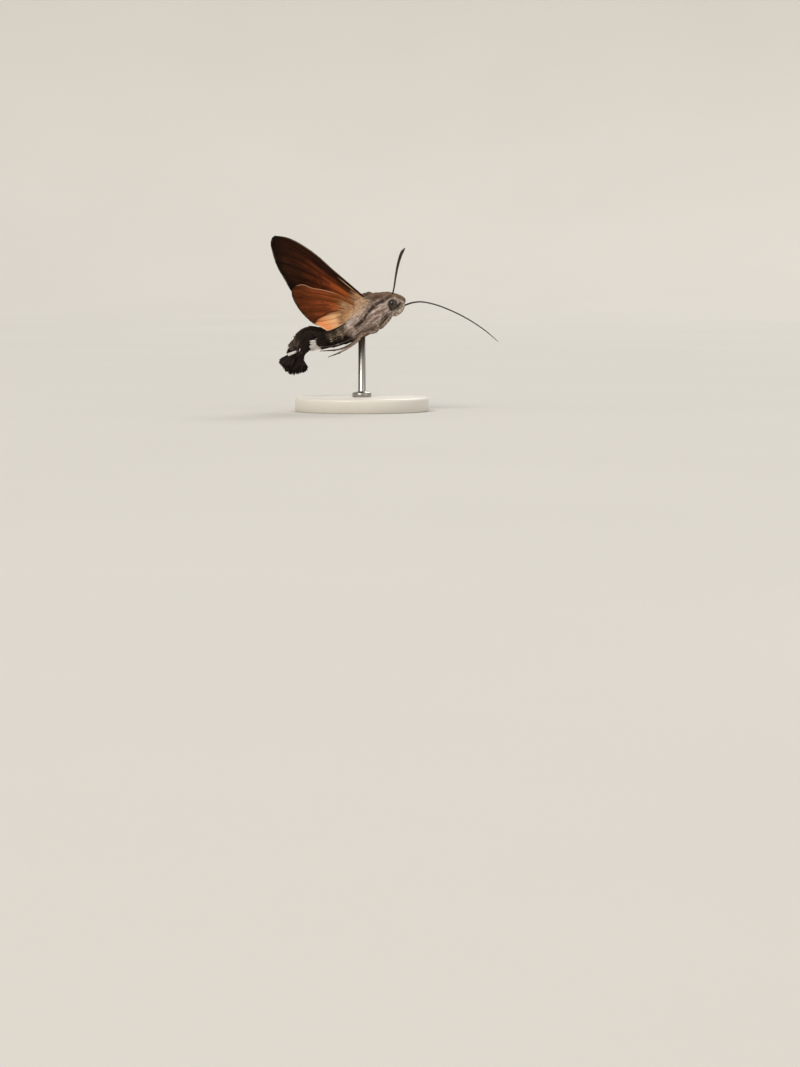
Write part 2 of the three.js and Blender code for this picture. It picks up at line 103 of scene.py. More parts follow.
class Form:
    """A closed form along a curve. Round it, 0 is the back, a quarter turn the left and half underneath."""

    def __init__(self, path, deep, wide, roll=None, even=False, relief=None):
        self.path = np.asarray(path, float)
        self.last = len(self.path) - 1
        roll = np.zeros(len(self.path)) if roll is None else np.radians(roll)
        self.sizes = np.column_stack([deep, wide, roll])
        self.even = even
        self.relief = relief

    def axes(self, t):
        t = np.asarray(t, float)
        reach = 0.02
        ahead = spline(self.path, t + reach, self.even)
        behind = spline(self.path, t - reach, self.even)
        back = unit(ahead - behind)
        side = unit(Y - back * back[..., 1:2])
        up = np.cross(side, back)
        deep, wide, roll = np.moveaxis(spline(self.sizes, t, self.even), -1, 0)
        c, s = np.cos(roll)[..., None], np.sin(roll)[..., None]
        turned_side = side * c - np.cross(back, side) * s
        turned_up = up * c - np.cross(back, up) * s
        return spline(self.path, t, self.even), back, turned_side, turned_up, deep, wide

    def point(self, t, around, off=0.0):
        """A point off the surface; around is in radians."""
        centre, _, side, up, deep, wide = self.axes(t)
        if self.relief:
            off = off + self.relief(t, around)
        return (centre + up * (np.cos(around) * (deep + off))[..., None]
                + side * (np.sin(around) * (wide + off))[..., None])

    def slopes(self, t, around):
        """The ways along and round the surface at a point."""
        reach = 0.01
        along = self.point(t + reach, around) - self.point(np.maximum(t - reach, 0), around)
        across = self.point(t, around + reach) - self.point(t, around - reach)
        return along, across

    def lie(self, t, around):
        """The way along the form and the way out of its surface."""
        along, across = self.slopes(t, around)
        normal = unit(np.cross(across, along))
        outward = self.point(t, around) - self.axes(t)[0]
        normal *= np.sign((normal * outward).sum(-1, keepdims=True))
        return unit(along), normal

    def scatter(self, count, low, high, seed):
        """Places spread evenly over the surface between two places along it."""
        draw = np.random.default_rng(seed)
        tries = TRIES * count
        t = draw.uniform(low, high, tries)
        around = draw.uniform(0, math.tau, tries)
        area = np.linalg.norm(np.cross(*self.slopes(t, around)), axis=-1)
        kept = np.flatnonzero(draw.random(tries) < area / np.percentile(area, FULL_AREA))[:count]
        return t[kept], around[kept]

    def marks(self, t, around):
        return np.column_stack([t / self.last, np.cos(around), np.sin(around)])

    def places(self, t, around):
        """Places on the unrolled surface, from 0 to 1 each way."""
        return np.column_stack([t / self.last, (around % math.tau) / math.tau])


def coat_depth(t):
    places, depths = zip(*COAT_DEPTH)
    return np.interp(t, places, depths)


def segment_relief(t, around):
    """Each segment of the abdomen swells towards its rear edge and steps down behind it."""
    swell = np.zeros_like(t)
    front = WAIST
    for edge in SEGMENT_EDGES:
        inside = (t > front) & (t <= edge)
        swell = np.where(inside, SEGMENT_STEP * ((t - front) / (edge - front)) ** 2, swell)
        front = edge
    return swell


def skin_relief(t, around):
    """The skin lies under its coat and keeps the steps between the segments."""
    return segment_relief(t, around) - coat_depth(t)


X, Z, DEEP, WIDE, ROLL = STATIONS.T
BODY_PATH = np.column_stack([X, 0 * X, Z])
BODY = Form(BODY_PATH, DEEP, WIDE, ROLL, even=True)
SKIN = Form(BODY_PATH, DEEP, WIDE, ROLL, even=True, relief=skin_relief)


def mirrored(points, side):
    """Points of the left side, or their mirror images on the right."""
    return np.asarray(points, float) * np.array([1, side, 1])


# Making objects


def new_object(name, mesh, materials, smooth=True):
    if smooth:
        mesh.shade_smooth()
    for material in materials:
        mesh.materials.append(material)
    made = bpy.data.objects.new(name, mesh)
    bpy.context.scene.collection.objects.link(made)
    return made


def settle(made, slot, *nodes):
    """The piece takes its place on the model."""
    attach(made, "root")
    if nodes:
        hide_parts(*nodes)


BARE = (0.35, 0.5, 0)  # tuft values of a surface without tufts


def sheet(bm, columns, rows, shape, unwrap=False):
    """A grid bent to shape(u, v), which gives its points and marks for u and v from 0 to 1."""
    mark = bm.verts.layers.float_vector.new("mark")
    tuft = bm.verts.layers.float_vector.new("tuft")
    unwrapped = bm.loops.layers.uv.new("OFBake") if unwrap else None
    bmesh.ops.create_grid(bm, x_segments=columns, y_segments=rows, size=0.5)
    flat = np.array([v.co for v in bm.verts]) + 0.5
    if unwrap:
        for face in bm.faces:
            for loop in face.loops:
                loop[unwrapped].uv = loop.vert.co.xy + Vector((0.5, 0.5))
    points, marks = shape(flat[:, 0], flat[:, 1])
    for vert, point, values in zip(bm.verts, points + THORAX, marks):
        vert.co = point
        vert[mark] = values
        vert[tuft] = BARE


def close_up(bm):
    """Joins points that meet and turns the faces outward."""
    bmesh.ops.remove_doubles(bm, verts=bm.verts, dist=1e-4)
    bmesh.ops.recalc_face_normals(bm, faces=bm.faces)


def to_mesh(bm, name):
    mesh = bpy.data.meshes.new(name)
    bm.to_mesh(mesh)
    bm.free()
    mesh.transform(Matrix.Scale(MM, 4))
    return mesh


def tube(name, slot, form, columns, rows, material, *nodes, unwrap=False):
    """The surface of a form, closed at both ends."""

    def shape(u, v):
        t = u * form.last
        around = math.tau * v
        closed = ((u < 1e-6) | (u > 1 - 1e-6))[:, None]
        return np.where(closed, form.axes(t)[0], form.point(t, around)), form.marks(t, around)

    bm = bmesh.new()
    sheet(bm, columns, rows, shape, unwrap)
    close_up(bm)
    settle(new_object(name, to_mesh(bm, name), [material]), slot, *nodes)


# Widths of a tuft at shares of its length
HAIR = ((0, 0.7), (0.5, 1))
LOCK = ((0, 0.6), (0.35, 1), (0.72, 0.72))
BLADE = ((0, 0.5), (0.5, 1), (0.93, 0.72))

RIDGE = 0.7  # height of a tuft's ridge, as a share of half its width
UV_MARGIN = 0.01
UV_PATCH = (0.0015, 0.003)  # half width and length of each tuft's patch on the UV map


def coat(name, slot, material, roots, along, face, length, width, marks, places, seed, bend=0.25,
         shape=LOCK, nodes=()):
    """Tapered tufts in one mesh, each with a flat sole and a raised ridge, bent back to the surface."""
    draw = np.random.default_rng(seed)
    count = len(roots)
    side = unit(np.cross(along, face))
    up = unit(np.cross(side, along))
    length = np.broadcast_to(length, count)[:, None]
    width = np.broadcast_to(width, count)[:, None]
    layers = []
    grow = []
    for share, breadth in shape:
        centre = roots + along * length * share - up * length * bend * share**2
        half = width * breadth / 2
        layers += [centre - side * half, centre + up * half * RIDGE, centre + side * half]
        grow += [share] * 3
    layers.append(roots + along * length - up * length * bend)
    grow.append(1)
    each = len(layers)
    points = np.stack(layers, axis=1).reshape(-1, 3) + THORAX
    faces = [(0, 2, 1)]
    for ring in range(len(shape) - 1):
        for k in range(3):
            a = 3 * ring + k
            b = 3 * ring + (k + 1) % 3
            faces.append((a, b, b + 3, a + 3))
    outer = 3 * (len(shape) - 1)
    faces += [(outer + k, outer + (k + 1) % 3, each - 1) for k in range(3)]
    shifts = range(0, count * each, each)
    mesh = bpy.data.meshes.new(name)
    mesh.from_pydata((points * MM).tolist(), [], [[i + s for i in f] for s in shifts for f in faces])
    chance = np.repeat(draw.random(count), each)
    grow = np.tile(grow, count)
    values = np.column_stack([grow, chance, 0 * chance])
    for label, data in (("mark", np.repeat(marks, each, axis=0)), ("tuft", values)):
        layer = mesh.attributes.new(label, "FLOAT_VECTOR", "POINT")
        layer.data.foreach_set("vector", data.astype(np.float32).ravel())
    sideways = np.tile([k % 3 - 1 for k in range(each)], count)
    patch = np.column_stack([sideways, grow - 0.5]) * UV_PATCH
    spots = np.repeat(UV_MARGIN + (1 - 2 * UV_MARGIN) * places, each, axis=0) + patch
    corners = np.empty(len(mesh.loops), np.int32)
    mesh.loops.foreach_get("vertex_index", corners)
    mesh.uv_layers.new(name="OFBake").data.foreach_set("uv", spots[corners].astype(np.float32).ravel())
    settle(new_object(name, mesh, [material], smooth=False), slot, *nodes)


SWAY = 0.18  # how much the tufts of a coat stray to either side
SINK = 0.06  # how deep their roots sit in the surface
RISE_SPREAD = (0.7, 1.3)
LENGTH_SPREAD = (0.75, 1.2)


def clothe(name, slot, form, material, count, low, high, length, width, rise, seed, bend=0.3,
           shape=HAIR, turn=None):
    """A coat of tufts over a form; length and rise may change with the place."""
    t, around = form.scatter(count, low, high, seed)
    draw = np.random.default_rng(seed + 1)
    size, angle = (f(t, around) if callable(f) else f for f in (length, rise))
    along, normal = form.lie(t, around)
    roots = form.point(t, around) - normal * SINK
    way = along + np.cross(normal, along) * draw.normal(0, SWAY, len(t))[:, None]
    kept = slice(None)
    if turn:
        way, kept = turn(roots, way)
    angle = angle * draw.uniform(*RISE_SPREAD, len(t))
    way = unit(unit(way) * np.cos(angle)[:, None] + normal * np.sin(angle)[:, None])
    size = size * draw.uniform(*LENGTH_SPREAD, len(t))
    coat(name, slot, material, roots[kept], way[kept], normal[kept], size[kept], width,
         form.marks(t, around)[kept], form.places(t, around)[kept], seed + 2, bend, shape)


def sided_coat(name, slot, material, side, roots, way, normal, *rest, **settings):
    """A coat made for the left side, or its mirror image on the right."""
    roots, way, normal = (mirrored(each, side) for each in (roots, way, normal))
    coat(name, slot, material, roots, way, normal, *rest, **settings)


# Shader maths


def hue(code):
    """A linear colour from its six-digit code."""
    parts = [int(code[k:k + 2], 16) / 255 for k in (0, 2, 4)]
    linear = [c / 12.92 if c < 0.04045 else ((c + 0.055) / 1.055) ** 2.4 for c in parts]
    return (*linear, 1.0)


class Value:
    """A number that changes over the surface."""

    def __init__(self, paint, socket):
        self.paint = paint
        self.socket = socket

    def math(self, operation, first, second=0.0):
        return self.paint.node("ShaderNodeMath", {0: first, 1: second}, operation=operation)

    def __add__(self, other):
        return self.math("ADD", self, other)

    def __sub__(self, other):
        return self.math("SUBTRACT", self, other)

    def __rsub__(self, other):
        return self.math("SUBTRACT", other, self)

    def __mul__(self, other):
        return self.math("MULTIPLY", self, other)

    def __pow__(self, power):
        return self.math("POWER", self, power)

    def __abs__(self):
        return self.math("ABSOLUTE", self)

    def larger(self, other):
        return self.math("MAXIMUM", self, other)

    def sine(self):
        return self.math("SINE", self)

    def squared(self):
        return self * self

    def rise(self, low, high):
        """Goes smoothly from 0 at low to 1 at high, or down where low is above high."""
        ends = {"Value": self, "From Min": min(low, high), "From Max": max(low, high)}
        grown = self.paint.node("ShaderNodeMapRange", ends, interpolation_type="SMOOTHSTEP")
        return 1 - grown if low > high else grown

    def band(self, low, high, soft):
        """1 between low and high, with soft ends."""
        return self.rise(low - soft, low + soft) * self.rise(high + soft, high - soft)

    __radd__ = __add__
    __rmul__ = __mul__


# Sockets of the mix node that take and give colours
MIX_SHARE, MIX_FIRST, MIX_SECOND, MIX_RESULT = 0, 6, 7, 2
DETAIL = 3.0


class Paint:
    """A material made of one Principled shader."""

    def __init__(self, name, **settings):
        self.material = bpy.data.materials.new(name)
        self.material.use_nodes = True
        self.nodes = self.material.node_tree.nodes
        self.links = self.material.node_tree.links
        self.shader = self.nodes["Principled BSDF"]
        for label, value in settings.items():
            self.shader.inputs[label.replace("_", " ").title().replace("Ior", "IOR")].default_value = value

    def node(self, kind, values, output=0, **settings):
        made = self.nodes.new(kind)
        for key, value in settings.items():
            setattr(made, key, value)
        for key, value in values.items():
            self.feed(made.inputs[key], value)
        return Value(self, made.outputs[output])

    def feed(self, socket, value):
        if isinstance(value, Value):
            self.links.new(value.socket, socket)
        else:
            socket.default_value = value

    def own(self, name):
        """One of the piece's own attributes."""
        return self.node("ShaderNodeAttribute", {}, output="Vector", attribute_name=name)

    def parts(self, vector):
        return [self.node("ShaderNodeSeparateXYZ", {0: vector}, output=k) for k in range(3)]

    def split(self, name):
        """The three numbers of one of the piece's own attributes."""
        return self.parts(self.own(name))

    def place(self):
        return self.node("ShaderNodeTexCoord", {}, output="Object")

    def from_thorax(self):
        """Place on the moth, in millimetres from the middle of its thorax."""
        return [part * (1 / MM) - middle for part, middle in zip(self.parts(self.place()), THORAX)]

    def noise(self, size, detail=DETAIL, stretch=None):
        """Cloudy values from 0 to 1 with spots of a size in millimetres."""
        where = self.place()
        if stretch:
            where = self.node("ShaderNodeMapping", {"Vector": where, "Scale": stretch})
        return self.node("ShaderNodeTexNoise", {"Vector": where, "Scale": 1 / (size * MM), "Detail": detail})

    def streaks(self, vector, stretch, size):
        """Cloudy values over an attribute, drawn out along it where stretch is small."""
        where = self.node("ShaderNodeVectorMath", {0: vector, 1: stretch}, operation="MULTIPLY")
        return self.node("ShaderNodeTexNoise", {"Vector": where, "Scale": 1 / size, "Detail": DETAIL})

    def cells(self, size):
        return self.node("ShaderNodeTexVoronoi", {"Vector": self.place(), "Scale": 1 / (size * MM)})

    def stroke(self, x, z, points, half):
        """A mark along a path in the side view, in millimetres."""
        painted = None
        for start, end in zip(points, points[1:]):
            run = math.dist(start, end)
            ahead, above = (end[0] - start[0]) / run, (end[1] - start[1]) / run
            along = (x - start[0]) * ahead + (z - start[1]) * above
            off = abs((z - start[1]) * ahead - (x - start[0]) * above)
            part = off.rise(1.5 * half, 0.5 * half) * along.band(0.0, run, half)
            painted = part if painted is None else painted.larger(part)
        return painted

    def mix(self, share, first, second, kind="MIX"):
        """The first colour where the share is 0 and the second where it is 1."""
        first, second = (hue(c) if isinstance(c, str) else c for c in (first, second))
        values = {MIX_SHARE: share, MIX_FIRST: first, MIX_SECOND: second}
        return self.node("ShaderNodeMix", values, output=MIX_RESULT, data_type="RGBA", blend_type=kind)

    def lay(self, colour, *layers):
        """The colour under layers of a share and a colour each, laid over it in turn."""
        for share, over in layers:
            colour = self.mix(share, colour, over)
        return colour

    def shade(self, colour, value, depth):
        """The colour, darker where value is low."""
        dark = self.mix(1.0, colour, (1 - depth,) * 3 + (1.0,), "MULTIPLY")
        return self.mix(value, dark, colour)

    def rooted(self, colour, grow, high, depth):
        """The colour, darker towards the roots of the tufts: painted shade where they lie under each other.
        """
        return self.shade(colour, grow.rise(-0.1, high), depth)

    def colour(self, value):
        self.feed(self.shader.inputs["Base Color"], value)

    def rough(self, value):
        self.feed(self.shader.inputs["Roughness"], value)

    def bump(self, height, depth, strength):
        """Relief with a depth in millimetres."""
        relief = {"Height": height, "Distance": depth * MM, "Strength": strength}
        self.feed(self.shader.inputs["Normal"], self.node("ShaderNodeBump", relief))


# Materials of the body, with paths of marks and of painted shade in the side view from the middle of the
# thorax

# Dark line down the side of the thorax: painted shadow, which also edges the darker back
SIDE_SHADOW_LINE = [(4.96, 3.74), (3.08, 2.57), (0.98, 1.4), (-0.42, -0.23), (-1.35, -1.63), (-3.22, -3.15)]
# Dark line under the rear edge of the hindwing: painted shadow of the wing, over dark scales
HINDWING_SHADOW_LINE = [(-5.32, -2.1), (-8.35, -3.73)]
# Dark line along the lower edge of the eye, painted shade under the eye, that runs on forward as a dark
# streak
EYE_SHADE_AND_STREAK = [(4.1, 0.62), (4.75, 0.42), (5.5, 0.9), (6.45, 1.95)]
WING_FOOT = [(-4.6, 1.0), (-0.4, 2.2)]
ASHEN_PATCH = [(-4.4, -2.3), (-3.1, -1.5)]
BELLY_SHADE = [(-10.5, -6.6), (-6.8, -6.4), (-4.0, -5.7)]
PALE_RIMS = [7.05, 7.65, 8.35]  # rear edges of the front segments, counted along the stations
TAIL_EDGE = [(-13.4, -6.5), (-13.6, -7.5), (-14.3, -8.1)]
WHITE_PATCH = ((-12.5, -10.6), (-7.5, -5.6))
PSEUDOPUPIL_SPOT = (-0.12, 0.22)  # painted pseudopupil, the dark spot a real eye shows only towards the viewer, in radii from its centre


def body_fur():
    """Grey-brown above, streaked pinkish grey on the sides, black and white on the rear of the abdomen, with
    painted shade underneath and painted shadow lines.
    """
    paint = Paint("body_fur", roughness=0.9, sheen_weight=0.06, sheen_roughness=0.5, specular_ior_level=0.1)
    mark = paint.own("mark")
    along, up, _ = paint.parts(mark)
    grow, chance, _ = paint.split("tuft")
    wisps = paint.streaks(mark, (2.2, 1.0, 1.0), 0.13).rise(0.36, 0.64)
    specks = paint.noise(0.55)
    cloud = paint.noise(1.3) - 0.5
    edge = up + cloud * 0.4
    station = along * LAST
    tone = station + cloud * 0.4
    x, y, z = paint.from_thorax()
    length = x + cloud * 0.4
    height = z + (specks - 0.5) * 0.35
    flank = abs(y).rise(0.8, 1.6)
    from_eye = (x - EYE_CENTRE[0]).squared() + (z - EYE_CENTRE[2]).squared()

    def fur(dark, pale):
        return paint.mix(wisps, dark, pale)

    def line(path, half):
        return paint.stroke(length, height, path, half)

    thorax = paint.lay(
        fur("a48979", "f5e2d7"),
        (specks.rise(0.57, 0.69) * 0.6, "5c4435"),
        (edge.rise(0.25, 0.65), fur("665041", "937a66")),  # back
        (edge.rise(-0.5, -0.9), fur("6f5745", "c2a892")),  # underside, darker in part as painted shade
        (line(WING_FOOT, 0.9) * 0.6, "c4a683"),
        (line(ASHEN_PATCH, 0.5) * flank * 0.7, "cbbeb6"),
        # painted shadow: the dark line down the side of the thorax
        (line(SIDE_SHADOW_LINE, 0.34) * flank * 0.9, "33261f"),
        (edge.rise(0.3, 0.6) * tone.rise(3.0, 2.0) * 0.8, fur("705946", "ad9276")),  # crown
        (edge.rise(0.05, -0.35) * tone.rise(3.7, 2.7) * 0.9, fur("988775", "eee0d1")),  # chin
        (from_eye.rise(2.3, 1.5) * flank * 0.7, "dccdbc"),
        # painted shade under the eye, running on forward as a dark streak
        (line(EYE_SHADE_AND_STREAK, 0.26) * flank * 0.9, "261c17"),
    )
    hump = tone.rise(8.4, 8.9) * tone.rise(10.9, 10.4)
    hump = hump.larger(edge.rise(0.45, 0.1) * tone.rise(10.2, 10.7)).larger(tone.rise(11.6, 12.0))
    across, upright = (v.band(*ends, 0.2) for v, ends in zip((length, height), WHITE_PATCH))
    abdomen = paint.lay(
        paint.mix(edge.rise(0.1, 0.55), fur("1d1613", "4a3b32"), fur("3f342d", "6a5b4f")),
        (paint.noise(0.9).rise(0.46, 0.58) * tone.rise(10.4, 10.9) * 0.8, "120d0b"),  # blotches at the rear
        (edge.band(-0.35, 0.35, 0.15) * tone.rise(9.0, 8.3) * 0.85, fur("44352b", "95816f")),  # front sides
        (edge.rise(-0.3, -0.6) * tone.rise(7.3, 8.0), "17110e"),  # underside: near black, in part painted shade beneath the abdomen
        (hump * 0.96, paint.mix(wisps * 0.7, "0e0a08", "4a3c2e")),
        (across * upright * flank, "e2e3e6"),
    )
    rims = edge.band(-0.45, 0.45, 0.2) * specks.rise(0.42, 0.58) * 0.75
    colour = paint.lay(
        paint.mix(tone.rise(6.5, 7.3), thorax, abdomen),
        # painted shadow under the rear edge of the hindwing
        (line(HINDWING_SHADOW_LINE, 0.3) * flank * 0.8, "1f1713"),
        (line(BELLY_SHADE, 1.0) * 0.92, "1a120e"),
        (line(TAIL_EDGE, 0.2) * flank * 0.6, "ab9489"),
        *((station.band(place - 0.08, place + 0.02, 0.06) * rims, "d8c4a1") for place in PALE_RIMS),
    )
    colour = paint.shade(paint.rooted(colour, grow, 0.7, 0.45), chance, 0.25)
    paint.colour(paint.shade(colour, specks, 0.15))
    paint.bump(paint.streaks(mark, (3.0, 1.0, 1.0), 0.04), 0.08, 0.8)
    return paint.material


def tuft_scales():
    """Long scales: black or white by the mark's first number, the black ones with lighter tips."""
    paint = Paint("tuft_scales", roughness=0.7, sheen_weight=0.03, specular_ior_level=0.14)
    white, _, _ = paint.split("mark")
    grow, chance, _ = paint.split("tuft")
    colour = paint.lay(
        paint.mix(chance, "0b0705", "251912"),
        (white, paint.mix(chance, "c6bfba", "f2eeeb")),
        (grow.rise(0.6, 1.0) * (1 - white) * 0.5, "30231c"),
    )
    paint.colour(paint.rooted(colour, grow, 0.5, 0.35))
    paint.bump(paint.noise(0.1, stretch=(0.3, 1.0, 1.0)), 0.04, 0.5)
    return paint.material


def pale_scales():
    """Whitish scales of the palps with smoky flecks, darker over their tops."""
    paint = Paint("pale_scales", roughness=0.8, sheen_weight=0.12, specular_ior_level=0.25)
    along, up, _ = paint.split("mark")
    grow, chance, _ = paint.split("tuft")
    flecks = paint.noise(0.45)
    smoky = (up + (flecks - 0.5) * 0.8).rise(-0.1, -0.7) * along.rise(0.3, 0.6)
    colour = paint.mix(flecks.rise(0.38, 0.62), "a08d7b", "ecdfd0")
    colour = paint.shade(paint.mix(smoky * 0.75, colour, "55432f"), chance, 0.25)
    paint.colour(paint.rooted(colour, grow, 0.6, 0.35))
    paint.bump(paint.noise(0.1), 0.03, 0.6)
    return paint.material


def leg_scales():
    """Mottled grey-brown thighs and shins and dark feet, with faint pale rings."""
    paint = Paint("leg_scales", roughness=0.8, sheen_weight=0.1, specular_ior_level=0.25)
    along, _, _ = paint.split("mark")
    grow, chance, _ = paint.split("tuft")
    colour = paint.lay(
        paint.mix(paint.noise(0.3).rise(0.38, 0.64), "7d6757", "c8b5a5"),
        (along.rise(0.45, 0.75), "44352c"),
        ((along * 46.0).sine().rise(0.7, 0.98) * 0.35, "b9a998"),
    )
    paint.colour(paint.rooted(paint.shade(colour, chance, 0.25), grow, 0.6, 0.3))
    paint.bump(paint.noise(0.08), 0.03, 0.6)
    return paint.material


def soft_hair(name, dark, pale, tip):
    """Soft hair round the roots of the wings, with browner tips."""
    paint = Paint(name, roughness=0.8, sheen_weight=0.1, specular_ior_level=0.15)
    grow, chance, _ = paint.split("tuft")
    colour = paint.mix(grow.rise(0.3, 1.0) * 0.8, paint.mix(chance, dark, pale), tip)
    paint.colour(paint.rooted(colour, grow, 0.5, 0.3))
    return paint.material


def eye_lens():
    """Glossy compound eye: a dark middle painted as the pseudopupil that a real eye shows only towards the
    viewer, a paler brown ring and a dark rim, with fine facets.
    """
    paint = Paint("eye_lens", roughness=0.28, specular_ior_level=0.3, coat_weight=0.25, coat_roughness=0.05)
    x, _, z = paint.from_thorax()
    ahead = (x - EYE_CENTRE[0]) * (1 / EYE_RADII[0])
    above = (z - EYE_CENTRE[2]) * (1 / EYE_RADII[2])
    out = (ahead.squared() + above.squared()) ** 0.5
    middle = (ahead - PSEUDOPUPIL_SPOT[0]).squared() + (above - PSEUDOPUPIL_SPOT[1]).squared()
    cloud = paint.noise(0.4, detail=2.0) - 0.5
    colour = paint.mix((middle + cloud * 0.2).rise(0.04, 0.42), "070403", "523c2b")
    colour = paint.mix((out + cloud * 0.15).rise(0.62, 0.88), colour, "120b08")
    facets = paint.cells(0.05)
    paint.colour(paint.shade(colour, 1 - facets, 0.4))
    paint.bump(1 - facets, 0.012, 0.5)
    return paint.material


def horn(name, dark, light, ring):
    """Dark horn with fine rings along it."""
    paint = Paint(name, specular_ior_level=0.45)
    along, up, _ = paint.split("mark")
    rings = (along * ring).sine()
    colour = paint.mix(up.rise(-0.2, 0.9) * 0.6, dark, light)
    paint.colour(paint.shade(colour, rings.rise(-1.0, 0.6), 0.4))
    paint.rough(0.38 + paint.noise(0.2) * 0.2)
    paint.bump(rings * 0.5 + 0.5, 0.025, 0.7)
    return paint.material


# Materials of the wings: s runs from the root to the margin and t from the front to the rear edge

UNDERSIDE = {"roughness": 0.85, "sheen_weight": 0.02, "specular_ior_level": 0.08}
CROSS_LINES = [  # share of the forewing's length, softness and strength
    (0.24, 0.012, 0.7), (0.34, 0.016, 0.9), (0.6, 0.018, 0.9), (0.67, 0.012, 0.5),
]


def streaked(paint, colour, depth):
    """Streaks that radiate from the root of a wing."""
    streaks = paint.streaks(paint.own("mark"), (2.5, 34.0, 0.0), 1.0)
    return paint.shade(colour, streaks.rise(0.36, 0.62), depth)


def powder(paint, colour):
    """Fine mottling and scale rows over a wing's colours."""
    paint.colour(paint.shade(colour, paint.noise(0.13, detail=1.0), 0.22))
    paint.bump(paint.cells(0.13), 0.02, 0.45)
    return paint.material


def forewing_under():
    """Dark olive brown, with rust that runs out between the veins from the root, and a pale line by the
    leading edge near the root, partly a painted highlight.
    """
    paint = Paint("forewing_under", **UNDERSIDE)
    s, t, vein = paint.split("mark")
    cloud = (paint.noise(2.0) - 0.5) * 0.24
    out = s + cloud
    dark = out.rise(0.34, 0.78).larger((t + cloud).rise(0.42, 0.14))
    colour = paint.lay(
        paint.mix(out.rise(0.12, 0.5), "c46831", "9e4b25"),
        (dark * 0.93, "2a180c"),
        (vein ** 0.18 * 0.66, "1c0e07"),
        (out.rise(0.84, 0.99), "1d1108"),
    )
    # pale line along a vein near the leading edge at the root, partly a painted highlight
    pale_vein_and_highlight = t.band(0.095, 0.125, 0.014) * s.band(0.05, 0.32, 0.05)
    return powder(paint, paint.mix(pale_vein_and_highlight * 0.9, streaked(paint, colour, 0.5), "e2bd93"))


def hindwing_under():
    """Rust brown, yellower at the root, with an orange rear fold edged by a painted shadow, dark veins and a
    pale leading edge.
    """
    paint = Paint("hindwing_under", **UNDERSIDE)
    s, t, vein = paint.split("mark")
    cloud = (paint.noise(1.8) - 0.5) * 0.24
    out = s + cloud
    behind = t - s * 0.38 + cloud * 0.06
    margin = s.rise(0.945, 0.98)
    rust = paint.lay(
        paint.mix(out.rise(0.1, 0.5), "c8773e", "a8552c"),
        (out.rise(0.5, 0.92), "663216"),
        (out.rise(0.32, 0.04) * t.rise(0.1, 0.3) * 0.9, "d9a763"),
    )
    orange = paint.mix(s.rise(0.25, 0.85), "f6c996", "f09a62")
    return powder(paint, paint.lay(
        streaked(paint, rust, 0.5),
        (behind.rise(0.37, 0.43), streaked(paint, orange, 0.12)),
        (behind.band(0.35, 0.38, 0.016) * s.band(0.14, 0.97, 0.1) * 0.8, "35190e"),  # painted shadow along the edge of the fold
        (vein ** 0.2 * behind.rise(0.5, 0.36) * 0.66, "3a190b"),
        (vein * 0.3, "8a4c22"),
        (margin * t.rise(0.82, 0.72) * 0.7, "33180f"),
        (margin * t.rise(0.7, 0.84) * 0.8, "ecd2ae"),
        (t.rise(0.02, 0.007) * s.band(0.35, 0.97, 0.06) * 0.6, "c99f7c"),  # leading edge
    ))


def forewing_upper():
    """Grey-brown with dark cross lines, a darker margin and a small dark spot."""
    paint = Paint("forewing_upper", roughness=0.75, sheen_weight=0.12, specular_ior_level=0.25)
    s, t, vein = paint.split("mark")
    across = s + (paint.noise(2.0, detail=2.0) - 0.5) * 0.1 + abs(t - 0.5) * 0.12
    colour = paint.lay(
        paint.mix(paint.noise(1.2), "6b5b4e", "8a7969"),
        (across.rise(0.74, 0.98) * 0.75, "4b3c33"),
        *((across.band(at - 0.008, at + 0.008, soft) * dark, "241a15") for at, soft, dark in CROSS_LINES),
        (s.band(0.455, 0.485, 0.012) * t.band(0.36, 0.44, 0.03), "17100d"),
        (vein * 0.3, "4a3c32"),
    )
    return powder(paint, streaked(paint, colour, 0.16))


def hindwing_upper():
    """Orange with a dark margin and a dusky root."""
    paint = Paint("hindwing_upper", roughness=0.72, sheen_weight=0.12, specular_ior_level=0.25)
    s, t, vein = paint.split("mark")
    out = s + (paint.noise(1.6) - 0.5) * 0.1
    colour = paint.lay(
        paint.mix(paint.noise(1.5), "cf7426", "e08c3c"),
        (out.rise(0.74, 0.93), "41230f"),
        (out.rise(0.28, 0.08) * 0.8, "5c4029"),
        (t.rise(0.8, 0.98) * 0.5, "e6b27a"),
        (vein * 0.3, "7a3c14"),
    )
    return powder(paint, streaked(paint, colour, 0.16))


def fringe_scales():
    """Scales along the wing edges: brown, cream by the mark's first number and orange by its second."""
    paint = Paint("fringe_scales", roughness=0.8, sheen_weight=0.2, specular_ior_level=0.25)
    cream, orange, _ = paint.split("mark")
    grow, chance, _ = paint.split("tuft")
    colour = paint.lay(paint.mix(chance, "2e1a12", "5a3a28"), (cream, "cbb190"), (orange, "dd9a5c"))
    paint.colour(paint.rooted(colour, grow, 0.6, 0.35))
    return paint.material


# Materials of the stand and floor


def ivory_lacquer():
    """Smooth ivory acrylic with faint clouds."""
    paint = Paint("ivory_lacquer", coat_weight=0.2, coat_roughness=0.25)
    paint.colour(paint.mix(paint.noise(9.0), "d9d4c9", "e3dfd6"))
    paint.rough(0.36 + paint.noise(1.5) * 0.12)
    paint.bump(paint.noise(0.6), 0.004, 0.5)
    return paint.material


def satin_steel():
    """Steel with fine lines round it from the lathe."""
    paint = Paint("satin_steel", metallic=1.0)
    lines = paint.noise(0.5, stretch=(1.0, 1.0, 18.0))
    paint.colour(paint.mix(lines, "8f8b86", "b9b5ae"))
    paint.rough(0.24 + lines * 0.16)
    paint.bump(lines, 0.004, 0.4)
    return paint.material


